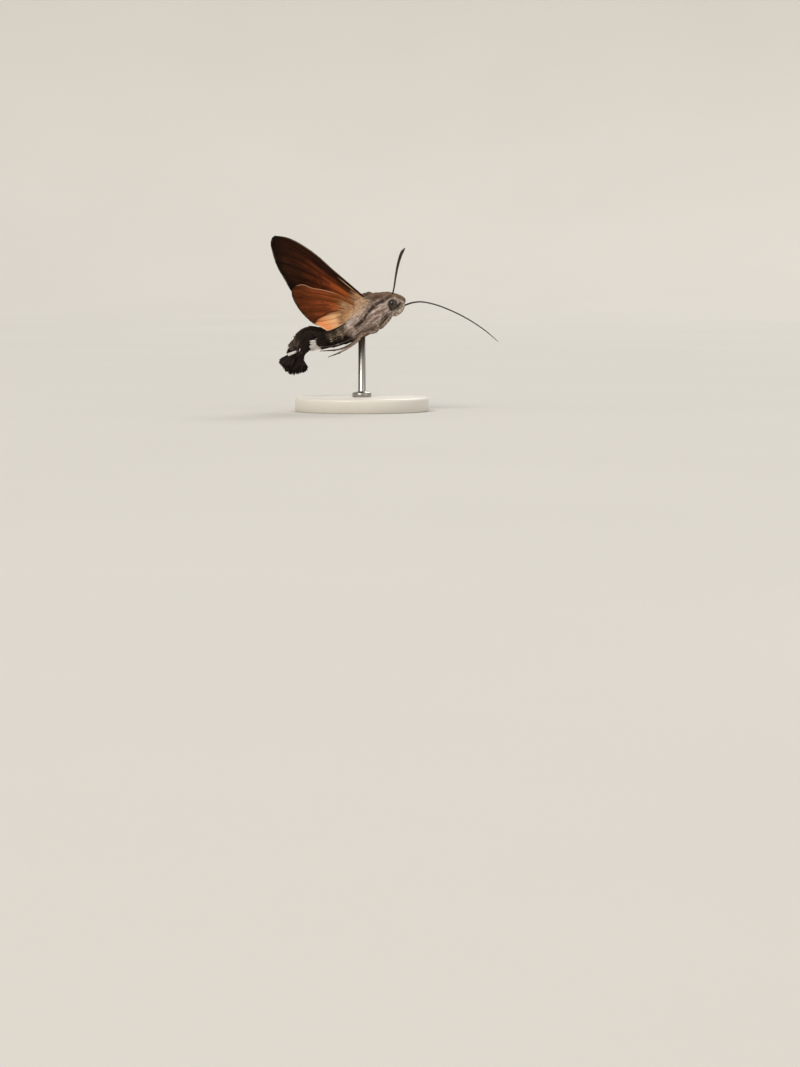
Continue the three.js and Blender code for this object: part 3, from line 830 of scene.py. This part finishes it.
def pale_floor():
    """Matt pale grey with broad faint clouds."""
    paint = Paint("pale_floor", roughness=0.9)
    paint.colour(paint.mix(paint.noise(120.0), "c6c3bd", "ccc9c3"))
    return paint.material


FUR = body_fur()
TUFTS = tuft_scales()
PALE = pale_scales()
LEG = leg_scales()
CREAM = soft_hair("cream_hair", "bd9875", "fce9d1", "c89c74")
WING_HAIR = soft_hair("wing_hair", "8a5a36", "e6c295", "94522c")
FRINGE = fringe_scales()


# Body

EYE_MARGIN = 1.03  # distance from the middle of an eye where fur starts, in radii
PARTING = 1.6  # how strongly fur turns away at the edge of an eye
PARTING_REACH = 0.35  # how far from that edge it still does, in radii


def clear_of_eyes(roots, way):
    """The way of fur that parts round the eyes, and which of its roots are clear of them."""
    kept = np.ones(len(roots), bool)
    for side in SIDES.values():
        offset = roots - mirrored(EYE_CENTRE, side)
        distance = np.linalg.norm(offset / EYE_RADII, axis=-1)
        kept &= distance > EYE_MARGIN
        near = np.exp(-np.maximum(distance - 1, 0) / PARTING_REACH)[:, None]
        way = way + PARTING * near * unit(offset)
    return way, kept


def head_length(t, around):
    """Longer towards the thorax, and longer again on top behind the face."""
    crest = 1 + 0.5 * step(np.cos(around), 0.4, 0.9) * step(t, 1.2, 2.2)
    return (0.3 + 0.11 * t) * crest


def beard(t, around):
    """1 under the front of the thorax, where the fur is a little longer and stands off."""
    return step(-np.cos(around), 0.35, 0.75) * step(t, 3.0, 3.6) * step(t, 6.0, 4.6)


def thorax_length(t, around):
    share = np.clip((t - NECK) / (WAIST - NECK), 0, 1)
    return 0.95 + 0.35 * np.sin(math.pi * share) + 0.15 * beard(t, around)


def thorax_rise(t, around):
    return 0.45 + 0.1 * beard(t, around)


def lock_length(t, around):
    return 1.0 + 0.35 * step(t, 3, 5)


def abdomen_length(t, around):
    return np.interp(t, [WAIST, 8, 10, 12], [0.9, 0.6, 0.6, 0.45])


LOCKS = {"bend": 0.35, "shape": LOCK, "turn": clear_of_eyes}
COATS = [  # name, slot, count, stretch of the body, length, width, rise, seed and settings
    ("head_fur", "thorax_fur", 12000, 0.25, 3.5, head_length, 0.13, 0.55, 11, {"turn": clear_of_eyes}),
    ("thorax_fur", "thorax_fur", 12000, 3.2, 7.2, thorax_length, 0.16, thorax_rise, 21, LOCKS),
    ("thorax_locks", "thorax_fur", 1800, 3.0, 6.9, lock_length, 0.26, thorax_rise, 25, LOCKS),
    ("abdomen_scales", "abdomen_fur", 15000, 6.8, 12.4, abdomen_length, 0.17, 0.3, 31, {"bend": 0.2}),
]

tube("skin", "thorax_fur", SKIN, 300, 96, FUR, "head", "thorax", "abdomen_front", "abdomen_rear",
     unwrap=True)
for label, slot, *measures, settings in COATS:
    clothe(label, slot, SKIN, FUR, *measures, **settings)

# Side tufts of the abdomen: fans of long scales at the rear edges of the segments

TUFT_LOCKS = 170
TUFT_ARC = (52, 122)  # degrees round the body
TUFT_MIDDLE = 86  # degrees, where they are longest
TUFT_LENGTH = 1.95
TUFT_WIDTH = 0.2
TUFT_FLARE = 0.5
WHITE_FLARE = 0.45
WHITE_TUFTS = [  # places along the body, degrees round it, count, length, and sweep towards the back
    (9.1, 9.45, 86, 142, 110, 1.45, 0),
    (10.45, 10.65, 68, 84, 24, 0.9, 0),
    (11.05, 11.25, 64, 80, 34, 0.85, 0),
    (11.6, 11.72, 48, 55, 26, 2.2, 50),
]
LEFT_SWEEP = -0.7  # share of that sweep on the left side, which the tail's roll turns up
LEFT_LENGTH = 0.5  # share of a swept tuft's length on the left side


def side_tufts():
    draw = np.random.default_rng(41)
    edges = np.repeat(SEGMENT_EDGES[2:], TUFT_LOCKS)
    around = draw.uniform(*TUFT_ARC, len(edges))
    middle = 1 - np.abs(around - TUFT_MIDDLE) / 40
    black = np.zeros(len(edges))
    groups = [(edges - draw.uniform(0.05, 0.45, len(edges)), around, TUFT_LENGTH * (0.6 + 0.4 * middle),
               TUFT_FLARE * (0.5 + 0.6 * middle), black, black)]
    for low, high, start, end, count, length, sweep in WHITE_TUFTS:
        white = np.ones(count)
        groups.append((draw.uniform(low, high, count), draw.uniform(start, end, count), white * length,
                       white * WHITE_FLARE, white * math.radians(sweep), white))
    t, degrees, length, flare, sweep, white = (np.tile(np.concatenate(each), 2) for each in zip(*groups))
    hand = np.repeat([1, -1], len(t) // 2)
    around = np.radians(degrees) * hand
    along, normal = SKIN.lie(t, around)
    towards_back = np.cross(normal, along) * hand[:, None]
    flare = flare + draw.normal(0, 0.08, len(t))
    turn = sweep * np.where(hand > 0, LEFT_SWEEP, 1) + draw.normal(0, 0.1, len(t)) * (1 - 0.4 * white)
    way = along * np.cos(turn)[:, None] + towards_back * np.sin(turn)[:, None]
    way = unit(way + normal * flare[:, None])
    length = length * draw.uniform(0.85, 1.08, len(t)) * np.where((hand > 0) & (sweep > 0), LEFT_LENGTH, 1)
    roots = SKIN.point(t, around) + normal * (0.25 * white - 0.15)[:, None]
    marks = np.column_stack([white, 0 * white, 0 * white])
    coat("side_tufts", "abdomen_fur", TUFTS, roots, way, normal, length, TUFT_WIDTH, marks,
         SKIN.places(t, around), 42, bend=0.12, shape=BLADE)


side_tufts()

# Tail fan: tiers of long scales, the longest in the middle tier

FAN_ROOT = 12.35
FAN_WIDTH = 0.32  # of each scale
FAN_TIERS = [  # tilt and half spread in degrees, count and length
    (32, 42, 420, 3.5), (16, 54, 460, 4.0), (0, 62, 520, 4.25), (-16, 54, 460, 4.0), (-32, 42, 420, 3.5),
]


def tail_fan():
    draw = np.random.default_rng(51)
    centre, back, side, up, deep, wide = BODY.axes(np.array(FAN_ROOT))
    parts = []
    for tilt, spread, count, length in FAN_TIERS:
        share = draw.uniform(-1, 1, count)
        yaw = np.radians(share * spread + draw.normal(0, 2, count))
        pitch = np.radians(tilt * (1 - 0.35 * np.abs(share)) + draw.normal(0, 4, count))
        way = (np.outer(np.cos(yaw) * np.cos(pitch), back) + np.outer(np.sin(yaw), side)
               + np.outer(np.sin(pitch), up))
        roots = centre + np.outer(share * wide * 0.5, side) + up * (deep * 0.45 * tilt / 32)
        lobes = 1 + 0.06 * np.cos(share * 9.0)
        sizes = length * (1 - 0.12 * share**2) * lobes * draw.uniform(0.88, 1.02, count)
        parts.append((roots, unit(way), sizes, share))
    roots, way, sizes, share = (np.concatenate(each) for each in zip(*parts))
    marks = np.zeros((len(sizes), 3))
    face = np.broadcast_to(up, roots.shape)
    places = np.column_stack([(share + 1) / 2, draw.random(len(sizes))])
    coat("tail_fan_scales", "tail_scales", TUFTS, roots, way, face, sizes, FAN_WIDTH, marks, places, 52,
         bend=0.03, shape=BLADE, nodes=["tail_fan"])


tail_fan()

# Eyes

EYE = eye_lens()


def eye(name, side):
    label = f"eye_{name}"
    bm = bmesh.new()
    bmesh.ops.create_uvsphere(bm, u_segments=72, v_segments=40, radius=1)
    bmesh.ops.scale(bm, vec=EYE_RADII, verts=bm.verts)
    bmesh.ops.translate(bm, vec=mirrored(EYE_CENTRE, side) + THORAX, verts=bm.verts)
    settle(new_object(f"{label}_lens", to_mesh(bm, f"{label}_lens"), [EYE]), "eye", label)


# Palps: two upturned brushes under the face

PALP_PATH = [(3.9, 0.9, -0.2), (5.25, 1.0, -0.15), (6.4, 0.95, 0.68), (7.0, 0.75, 1.9)]
PALP_DEEP = np.array([0.5, 0.8, 0.75, 0.3])
PALP_WIDE = np.array([0.45, 0.65, 0.6, 0.25])
PALP_COAT = 0.12


def palp(name, side):
    form = Form(mirrored(PALP_PATH, side), PALP_DEEP - PALP_COAT, PALP_WIDE - PALP_COAT)
    label = f"palp_{name}"
    tube(f"{label}_core", "pale_scales", form, 40, 24, PALE, label)
    clothe(f"{label}_scales", "pale_scales", form, PALE, 3200, 0.1, 2.98, 0.45, 0.1, 0.5, seed=61)


# Antennae: ringed clubs that taper to a point

ANTENNA_PATH = [
    (4.45, 0.75, 2.9), (4.95, 1.3, 4.6), (5.38, 2.6, 7.3), (5.9, 4.0, 10.0), (6.65, 5.3, 12.3),
    (7.35, 6.0, 13.3),
]
ANTENNA_RADII = np.array([0.17, 0.15, 0.19, 0.26, 0.31, 0.06])
ANTENNA_RINGS = 44
ANTENNA = horn("antenna_horn", "17100c", "6b5644", math.tau * ANTENNA_RINGS)


def ring_relief(t, around):
    return 0.022 * np.abs(np.sin(math.pi * ANTENNA_RINGS * t / (len(ANTENNA_PATH) - 1)))


def antenna(name, side):
    form = Form(mirrored(ANTENNA_PATH, side), ANTENNA_RADII, ANTENNA_RADII * 0.9, relief=ring_relief)
    tube(f"antenna_{name}_club", "horn", form, 264, 18, ANTENNA, f"antenna_{name}")


# Proboscis: a long thin tube with a groove where its two halves meet

TONGUE = horn("proboscis_horn", "1c1310", "4a3527", 900.0)
PROBOSCIS_PATH = [
    (6.0, 0, 0.85), (8.8, 0, 1.85), (10.7, 0, 2.05), (13.4, 0, 1.55),
    (16.8, 0, 0.3), (20.4, 0, -1.5), (23.9, 0, -3.8), (26.9, 0, -6.3),
]
PROBOSCIS_RADII = np.array([0.26, 0.22, 0.2, 0.19, 0.18, 0.17, 0.15, 0.06])


def groove_relief(t, around):
    groove = np.exp(-((np.sin(around) / 0.3) ** 2)) * (np.cos(around) > 0)
    return -0.05 * groove


def proboscis():
    form = Form(PROBOSCIS_PATH, PROBOSCIS_RADII * 0.85, PROBOSCIS_RADII, relief=groove_relief)
    tube("proboscis_tube", "horn", form, 220, 20, TONGUE, "proboscis")


# Legs, from the hip to the claw

HORN = horn("claw_horn", "1c1310", "3d2c22", 40.0)


def on_body(places):
    """Points on the body from places along it, degrees round it and heights over it."""
    return [BODY.point(np.array(t), math.radians(a), off) for t, a, off in places]


FORE_LEG = on_body([
    (4.9, 160, -0.6), (4.55, 146, 0.48), (3.95, 138, 0.62), (3.35, 128, 0.68),
    (3.6, 119, 0.65), (4.0, 119, 0.6), (4.35, 123, 0.55),
])
MID_LEG = on_body([
    (6.0, 150, -0.6), (5.7, 143, 0.5), (5.25, 136, 0.66), (4.9, 127, 0.74), (5.2, 117, 0.7),
    (6.2, 118, 0.64), (7.3, 125, 0.66), (8.3, 131, 0.7), (9.2, 135, 0.7),
])
HIND_LEGS = {
    "right": [(-1.5, 1.75, -4.6), (-3.0, 1.9, -6.3), (-5.25, 2.4, -7.9), (-7.1, 2.4, -8.8),
              (-8.7, 2.1, -9.4)],
    "left": [(-1.5, 1.75, -4.6), (-3.4, 2.0, -6.5), (-6.2, 2.4, -7.85), (-8.4, 2.3, -8.15),
             (-10.5, 1.9, -8.25)],
}
LEGS = {  # radii along the leg, share of it where the tarsus starts, places of the spurs, and seed
    "fore": ([0.34, 0.3, 0.28, 0.2, 0.18, 0.13, 0.06], 0.62, (), 91),
    "mid": ([0.36, 0.34, 0.32, 0.24, 0.22, 0.18, 0.14, 0.11, 0.06], 0.66, (0.66,), 101),
    "hind": ([0.36, 0.26, 0.16, 0.12, 0.05], 0.6, (0.45, 0.6), 111),
}
TARSUS_JOINTS = 5
SPUR_LENGTH = 0.8
CLAW_LENGTH = 0.25


def leg(kind, name, path, side):
    radii, tarsus, spurs, seed = LEGS[kind]
    radii = np.array(radii)

    def relief(t, around):
        share = t / (len(radii) - 1)
        joints = np.clip((share - tarsus) / (1 - tarsus), 0, 1)
        return 0.025 * np.abs(np.sin(TARSUS_JOINTS * math.pi * joints)) * (share > tarsus)

    form = Form(mirrored(path, side), radii, radii * 0.85, relief=relief)

    def scale_length(t, around):
        return 0.52 - 0.4 * (t / form.last)

    label = f"{kind}leg_{name}"
    tube(f"{label}_core", "leg_scales", form, 90, 16, LEG, label)
    clothe(f"{label}_scales", "leg_scales", form, LEG, 1600, 0.4, form.last - 0.1, scale_length, 0.09,
           0.45, seed)
    draw = np.random.default_rng(seed + 7)
    t = np.array([share * form.last for share in spurs for _ in range(2)] + [form.last - 0.05] * 2)
    around = np.tile([math.radians(150), math.radians(210)], len(t) // 2)
    along, normal = form.lie(np.minimum(t, form.last - 0.2), around)
    way = unit(along + normal * 0.35 + draw.normal(0, 0.05, normal.shape))
    length = np.where(t < form.last - 0.1, SPUR_LENGTH, CLAW_LENGTH)
    coat(f"{label}_spurs", "horn", HORN, form.point(t, around), way, normal, length, 0.09,
         form.marks(t, around), form.places(t, around), seed + 8)


# Wings: their edges are in the side view from the hinge, and their veins start at stems near the root

WING_HINGE = np.array([-2.52, 2.1])
HINGE_SLOPE = math.radians(30)
WING_LEAN = 0.3
WING_BEND = 0.0045
FOREWING = {
    "reach": 1.75,
    "front": [(1.9, 0.7), (0.75, 1.6), (-2.31, 4.2), (-5.46, 6.87), (-8.61, 9.66), (-11.97, 11.97),
              (-14.7, 13.27), (-17.0, 13.73)],
    "margin": [(-17.0, 13.73), (-17.6, 13.25), (-17.85, 12.2), (-17.55, 10.3), (-16.6, 7.35),
               (-15.1, 4.62), (-13.75, 2.2), (-12.4, 0.42), (-11.1, -0.42)],
    "rear": [(-0.21, -1.47), (-3.57, -1.05), (-7.56, -0.84), (-11.1, -0.42)],
    "veins": [0.07, 0.15, 0.24, 0.34, 0.46, 0.57, 0.68, 0.78, 0.9],
    "stems": [0.1, 0.17, 0.23, 0.29, 0.4, 0.5, 0.58, 0.66, 0.85],
    "from_cell": (4, 5),
    "fold": 1.0,
    "fold_out": 0.0,
    "faces": (forewing_upper(), forewing_under()),
    "grid": (170, 130),
    "fringe": (2.0, 0.4, 71),  # share of the margin from which it is pale, length and seed
    "hair_seed": 84,
}
HINDWING = {
    "reach": 2.85,
    "front": [(-0.21, -0.84), (-2.31, 0.73), (-4.2, 1.68), (-6.93, 2.46), (-9.45, 2.94),
              (-11.34, 3.63), (-12.8, 3.4)],
    "margin": [(-12.8, 3.4), (-13.65, 2.52), (-13.5, 1.05), (-12.7, -0.63), (-11.55, -2.31),
               (-10.3, -3.57), (-9.24, -4.47), (-7.98, -5.04), (-6.3, -5.98)],
    "rear": [(-1.26, -3.36), (-3.57, -4.83), (-5.04, -5.57), (-6.3, -5.98)],
    "veins": [0.12, 0.25, 0.37, 0.49, 0.61, 0.73, 0.88],
    "stems": [0.12, 0.22, 0.32, 0.42, 0.52, 0.7, 0.86],
    "from_cell": (2, 3),
    "fold": 0.74,
    "fold_out": 0.9,
    "faces": (hindwing_upper(), hindwing_under()),
    "grid": (130, 120),
    "fringe": (0.72, 0.42, 73),
    "hair_seed": 86,
}
WINGS = {"forewing": FOREWING, "hindwing": HINDWING}
CELL_END = 0.5
MEMBRANE = 0.12  # thickness between the veins
VEIN = 0.2  # extra thickness of a vein at its middle
VEIN_WIDTH = 0.11
VEINS_SPREAD = 0.75  # share of the wing's length over which the veins spread out
CROSS_VEIN = 0.3  # strength of the vein that closes the cell
WING_LENGTH = 20  # roughly, for the width of that vein
THICKEST = 0.6
PLEAT = 0.07
COSTA = 0.22  # extra thickness of the leading edge
COSTA_SHARE = 0.045  # width of that edge, as a share of the wing's
RIM = 0.35  # share of the thickness that is left at the edges
ROOT_SWELL = 0.2
FRINGE_COUNT = 900  # scales along the margin; the rear edge has half as many
FRINGE_TUCK = 0.3  # how far inside the edge the fringe is rooted
EDGE = 0.02  # share of the wing that counts as its edge


def wing_surface(wing, s, t):
    """The middle surface: s runs from the root to the margin and t from the front to the rear edge."""
    curve = {key: np.array(wing[key], float) for key in ("front", "margin", "rear")}

    def at(key, share):
        return spline(curve[key], share * (len(curve[key]) - 1))

    across = t[:, None]
    straight = curve["front"][-1] * (1 - across) + curve["rear"][-1] * across
    plan = at("front", s) * (1 - across) + at("rear", s) * across
    plan = plan + (at("margin", t) - straight) * s[:, None]
    rise = plan[:, 1] * math.cos(HINGE_SLOPE) - plan[:, 0] * math.sin(HINGE_SLOPE)
    lean = np.where(rise > 0, WING_LEAN * rise + WING_BEND * rise * rise, 0)
    folded = wing["fold_out"] * np.maximum(0, t - wing["fold"]) / max(0.01, 1 - wing["fold"])
    x, z = (plan + WING_HINGE).T
    return np.column_stack([x, wing["reach"] + lean + folded * s, z])


def vein_field(wing, s, t):
    """How near a point of the wing is to a vein, and the pleating between the veins."""
    chord = np.linalg.norm(wing_surface(wing, s, 0 * t) - wing_surface(wing, s, 0 * t + 1), axis=-1)
    opening = step(s, 0, VEINS_SPREAD)
    near = np.zeros_like(s)
    lines = []
    for k, (stem, end) in enumerate(zip(wing["stems"], wing["veins"])):
        line = stem + (end - stem) * opening
        lines.append(line)
        starts = step(s, CELL_END - 0.1, CELL_END) if k in wing["from_cell"] else 1.0
        width = VEIN_WIDTH * (1.5 - 0.8 * s)
        near = np.maximum(near, starts * np.exp(-(((t - line) * chord / width) ** 2)))
    cell_front, cell_rear = lines[wing["from_cell"][0] - 1], lines[wing["from_cell"][1] + 1]
    bar = CROSS_VEIN * np.exp(-(((s - CELL_END) * WING_LENGTH / VEIN_WIDTH / 1.6) ** 2))
    near = np.maximum(near, bar * (t > cell_front) * (t < cell_rear))
    pleat = np.zeros_like(s)
    for k, (front, rear) in enumerate(zip(lines, lines[1:] + [0 * s + 1])):
        share = (t - front) / np.maximum(rear - front, 1e-6)
        pleat = np.where((t >= front) & (t <= rear), np.sin(math.pi * share) * (-1) ** k, pleat)
    return near, pleat * PLEAT * step(s, 0.1, 0.5)


def wing_membrane(kind, name, wing, side):
    """A wing with its veins raised on both faces."""

    def shape(u, v):
        near, pleat = vein_field(wing, u, v)
        points = wing_surface(wing, u, v)
        points[:, 1] += pleat
        return mirrored(points, side), np.column_stack([u, v, near])

    bm = bmesh.new()
    sheet(bm, *wing["grid"], shape)
    bm.normal_update()
    if sum(face.normal.y for face in bm.faces) * side > 0:
        bmesh.ops.reverse_faces(bm, faces=bm.faces)
    label = f"{kind}_{name}"
    mesh = to_mesh(bm, f"{label}_membrane")
    made = new_object(f"{label}_membrane", mesh, wing["faces"])
    s, t, near = np.array([m.vector for m in mesh.attributes["mark"].data]).T
    costa = np.exp(-((t / COSTA_SHARE) ** 2)) * COSTA
    edge = step(1 - s, 0.0, 0.06) * step(1 - t, 0.0, 0.04)
    thick = (MEMBRANE + VEIN * near + costa) * (RIM + (1 - RIM) * edge) + ROOT_SWELL * step(s, 0.2, 0.0)
    group = made.vertex_groups.new(name="thickness")
    for index, share in enumerate(np.clip(thick / THICKEST, 0, 1)):
        group.add([index], float(share), "REPLACE")
    shell = made.modifiers.new("membrane", "SOLIDIFY")
    shell.thickness = THICKEST * MM
    shell.offset = 0
    shell.vertex_group = "thickness"
    shell.material_offset = 1
    shell.material_offset_rim = 1
    settle(made, f"{kind}_scales", label)


def wing_fringe(kind, name, wing, side):
    """Scales along the margin and rear edge, pale from a share of the margin, or nowhere past its end."""
    pale_from, length, seed = wing["fringe"]
    draw = np.random.default_rng(seed)
    rear_count = FRINGE_COUNT // 2
    t = np.concatenate([draw.uniform(0.03, 1, FRINGE_COUNT), np.ones(rear_count)])
    s = np.concatenate([np.ones(FRINGE_COUNT), draw.uniform(0.25, 1, rear_count)])
    on_margin = np.arange(len(t)) < FRINGE_COUNT
    inside = wing_surface(wing, np.where(on_margin, 1 - EDGE, s), np.where(on_margin, t, 1 - EDGE))
    edge = wing_surface(wing, s, t)
    outward = unit(edge - inside)
    near_s, near_t = np.clip([s, t], EDGE, 1 - EDGE)
    span = wing_surface(wing, near_s + EDGE, near_t) - wing_surface(wing, near_s - EDGE, near_t)
    across = wing_surface(wing, near_s, near_t + EDGE) - wing_surface(wing, near_s, near_t - EDGE)
    normal = unit(np.cross(span, across))
    way = unit(outward + np.cross(normal, outward) * draw.normal(0, 0.16, len(t))[:, None]
               + normal * draw.normal(0, 0.08, len(t))[:, None])
    pale = np.where(on_margin, step(t, pale_from, pale_from + 0.15), 0.6)
    sizes = length * draw.uniform(0.6, 1.1, len(t)) * np.where(on_margin, step(t, 0.0, 0.3) * 0.6 + 0.4, 1)
    marks = np.column_stack([pale, 0.3 * pale, 0 * pale])
    sided_coat(f"{kind}_{name}_fringe", f"{kind}_scales", FRINGE, side, edge - outward * FRINGE_TUCK, way,
               normal, sizes, 0.12, marks, np.column_stack([s, t]), seed + 1, bend=0.0, shape=HAIR)


# Hair that meets at the roots of the wings and runs out over their undersides

HINGE_MIDDLE = np.array([-3.3, 2.75, 1.65])
ROOT_HAIRS = 2600  # places tried on each side of the thorax
FOOT_HAIRS = 520  # on each wing


def wing_root_hair(name, side):
    """Hair on the thorax that points to the roots of the wings."""
    draw = np.random.default_rng(81)
    t = draw.uniform(4.1, 6.7, ROOT_HAIRS)
    around = np.radians(draw.uniform(30, 100, ROOT_HAIRS))
    roots = SKIN.point(t, around)
    away = np.linalg.norm(roots - HINGE_MIDDLE, axis=-1)
    kept = draw.random(ROOT_HAIRS) < step(away, 4.2, 1.2)
    t, around, roots, away = t[kept], around[kept], roots[kept], away[kept]
    _, normal = SKIN.lie(t, around)
    toward = unit(HINGE_MIDDLE - roots)
    way = unit(toward + normal * draw.uniform(0.25, 0.6, len(t))[:, None]
               + np.cross(normal, toward) * draw.normal(0, 0.15, len(t))[:, None])
    sizes = np.clip(away, 0.7, 1.7) * draw.uniform(0.7, 1.1, len(t))
    sided_coat(f"wing_root_hair_{name}", "thorax_fur", CREAM, side, roots, way, normal, sizes, 0.08,
               SKIN.marks(t, around), SKIN.places(t, around), 82, bend=0.2)


def wing_foot_hair(kind, name, wing, side):
    """Hair that runs out over the underside of a wing from its root."""
    seed = wing["hair_seed"]
    draw = np.random.default_rng(seed)
    s = 0.02 + 0.13 * draw.random(FOOT_HAIRS) ** 1.6
    t = draw.uniform(0.14, 0.97, FOOT_HAIRS)
    roots = wing_surface(wing, s, t)
    out = unit(wing_surface(wing, s + 0.06, t) - roots)
    across = unit(wing_surface(wing, s, t + EDGE) - wing_surface(wing, s, t - EDGE))
    normal = unit(np.cross(out, across))
    normal *= np.sign(normal[:, 1:2])
    way = unit(out + across * draw.normal(0, 0.06, FOOT_HAIRS)[:, None] + normal * 0.05)
    sizes = 0.6 + 2.6 * draw.random(FOOT_HAIRS) ** 2.2
    marks = np.column_stack([s, t, 0 * s])
    sided_coat(f"{kind}_{name}_foot_hair", f"{kind}_scales", WING_HAIR, side, roots + normal * 0.16, way,
               normal, sizes, 0.07, marks, marks[:, :2], seed + 1, bend=0.0)


proboscis()
for label, hand in SIDES.items():
    eye(label, hand)
    palp(label, hand)
    antenna(label, hand)
    leg("fore", label, FORE_LEG, hand)
    leg("mid", label, MID_LEG, hand)
    leg("hind", label, HIND_LEGS[label], hand)
    for kind, wing in WINGS.items():
        wing_membrane(kind, label, wing, hand)
    for kind, wing in WINGS.items():
        wing_fringe(kind, label, wing, hand)
    wing_root_hair(label, hand)
    for kind, wing in WINGS.items():
        wing_foot_hair(kind, label, wing, hand)

# Stand: a round base with a rounded edge and a turned rod

BASE_RADIUS = 14.0
BASE_THICK = 3.0
ROD_RADIUS = 0.8
FLANGE_RADIUS = 2.0
FLANGE_THICK = 0.7
CHAMFER = 0.3  # height of each of the flange's two chamfers
ROD_DEPTH = 3.2  # how far under the middle of the thorax the rod ends


def turned(name, profile, steps, material):
    """A solid of revolution from a profile of radius and height, in millimetres."""
    bm = bmesh.new()
    verts = [bm.verts.new((radius, 0, height)) for radius, height in profile]
    edges = [bm.edges.new(pair) for pair in zip(verts, verts[1:])]
    bmesh.ops.spin(bm, geom=verts + edges, axis=(0, 0, 1), cent=(0, 0, 0), angle=math.tau,
                   steps=steps, use_merge=True)
    close_up(bm)
    return new_object(name, to_mesh(bm, name), [material])


def rounded(radius, low, high, edge):
    """The profile of a disc whose upper edge is rounded."""
    steps = 6
    turns = [k * math.pi / 2 / steps for k in range(steps + 1)]
    curve = [(radius - edge + edge * math.cos(a), high - edge + edge * math.sin(a)) for a in turns]
    return [(0, low), (radius - edge * 0.3, low), (radius, low + edge * 0.3), *curve, (0, high)]


base = turned("base_disc", rounded(BASE_RADIUS, 0, BASE_THICK, 0.7), 144, ivory_lacquer())
settle(base, "base_acrylic", "stand_base")
rod_top = THORAX[2] - ROD_DEPTH
flange_top = BASE_THICK + FLANGE_THICK
rod_profile = [
    (0, BASE_THICK), (FLANGE_RADIUS - 0.1, BASE_THICK), (FLANGE_RADIUS, BASE_THICK + 0.1),
    (FLANGE_RADIUS, flange_top), (FLANGE_RADIUS - 0.25, flange_top + CHAMFER),
    (ROD_RADIUS + 0.25, flange_top + CHAMFER), (ROD_RADIUS, flange_top + 2 * CHAMFER),
    (ROD_RADIUS * 0.9, rod_top), (0, rod_top),
]
settle(turned("rod_turned", rod_profile, 48, satin_steel()), "rod_steel", "stand_rod")

# Floor that curves up all round

FLOOR_RADIUS = 1200.0
FLOOR_SWEEP = 500.0
FLOOR_HEIGHT = 560.0


def floor():
    turns = [k * math.pi / 32 for k in range(17)]
    sweep = [(FLOOR_RADIUS + FLOOR_SWEEP * math.sin(a), FLOOR_SWEEP * (1 - math.cos(a))) for a in turns]
    profile = [(0, 0), *sweep, (FLOOR_RADIUS + FLOOR_SWEEP, FLOOR_HEIGHT)]
    made = turned("floor", profile, 96, pale_floor())


floor()

# Light

LIT_POINT = Vector((0, 0, 0.02))
LIGHTS = {  # place, size, energy and colour
    "key": ((-1.3, -2.0, 2.2), 1.2, 54.0, (1.0, 0.94, 0.86)),
    "fill": ((1.9, -1.4, 0.9), 1.4, 11.0, (0.94, 0.97, 1.0)),
    "back": ((0.6, 1.7, 1.6), 0.9, 17.0, (1.0, 0.98, 0.95)),
}


def area_light(name, place, size, energy, colour):
    data = bpy.data.lights.new(name, "AREA")
    data.energy = energy
    data.size = size
    data.color = colour
    made = bpy.data.objects.new(name, data)
    made.location = place
    made.rotation_euler = (LIT_POINT - Vector(place)).to_track_quat("-Z", "Y").to_euler()
    bpy.context.scene.collection.objects.link(made)


for label, settings in LIGHTS.items():
    area_light(label, *settings)

world = bpy.data.worlds.new("studio")
bpy.context.scene.world = world
world.use_nodes = True
world.node_tree.nodes["Background"].inputs["Color"].default_value = (1.0, 0.99, 0.97, 1.0)
world.node_tree.nodes["Background"].inputs["Strength"].default_value = 0.62
bpy.context.scene.view_settings.view_transform = "Standard"

# Camera: the photo's side view and framing, from just above the moth's height

PHOTO_HEIGHT = 1067
PIXEL = 0.21  # millimetres of the moth for each pixel of the photo
FRAME_CENTRE = np.array([7.98, 0.0, -25.7])  # what lies at the middle of the frame
CAMERA_AWAY = 800.0
CAMERA_HEIGHT = 34.0
SENSOR = 36.0

camera_data = bpy.data.cameras.new("camera")
camera = bpy.data.objects.new("camera", camera_data)
bpy.context.scene.collection.objects.link(camera)
bpy.context.scene.camera = camera
eye_point = Vector((FRAME_CENTRE[0], -CAMERA_AWAY, CAMERA_HEIGHT)) * MM
view_line = Vector(FRAME_CENTRE) * MM - eye_point
camera.location = eye_point
camera.rotation_euler = view_line.to_track_quat("-Z", "Y").to_euler()
camera_data.sensor_width = SENSOR
camera_data.lens = SENSOR * view_line.length / (PHOTO_HEIGHT * PIXEL * MM)
camera_data.clip_start = 0.01
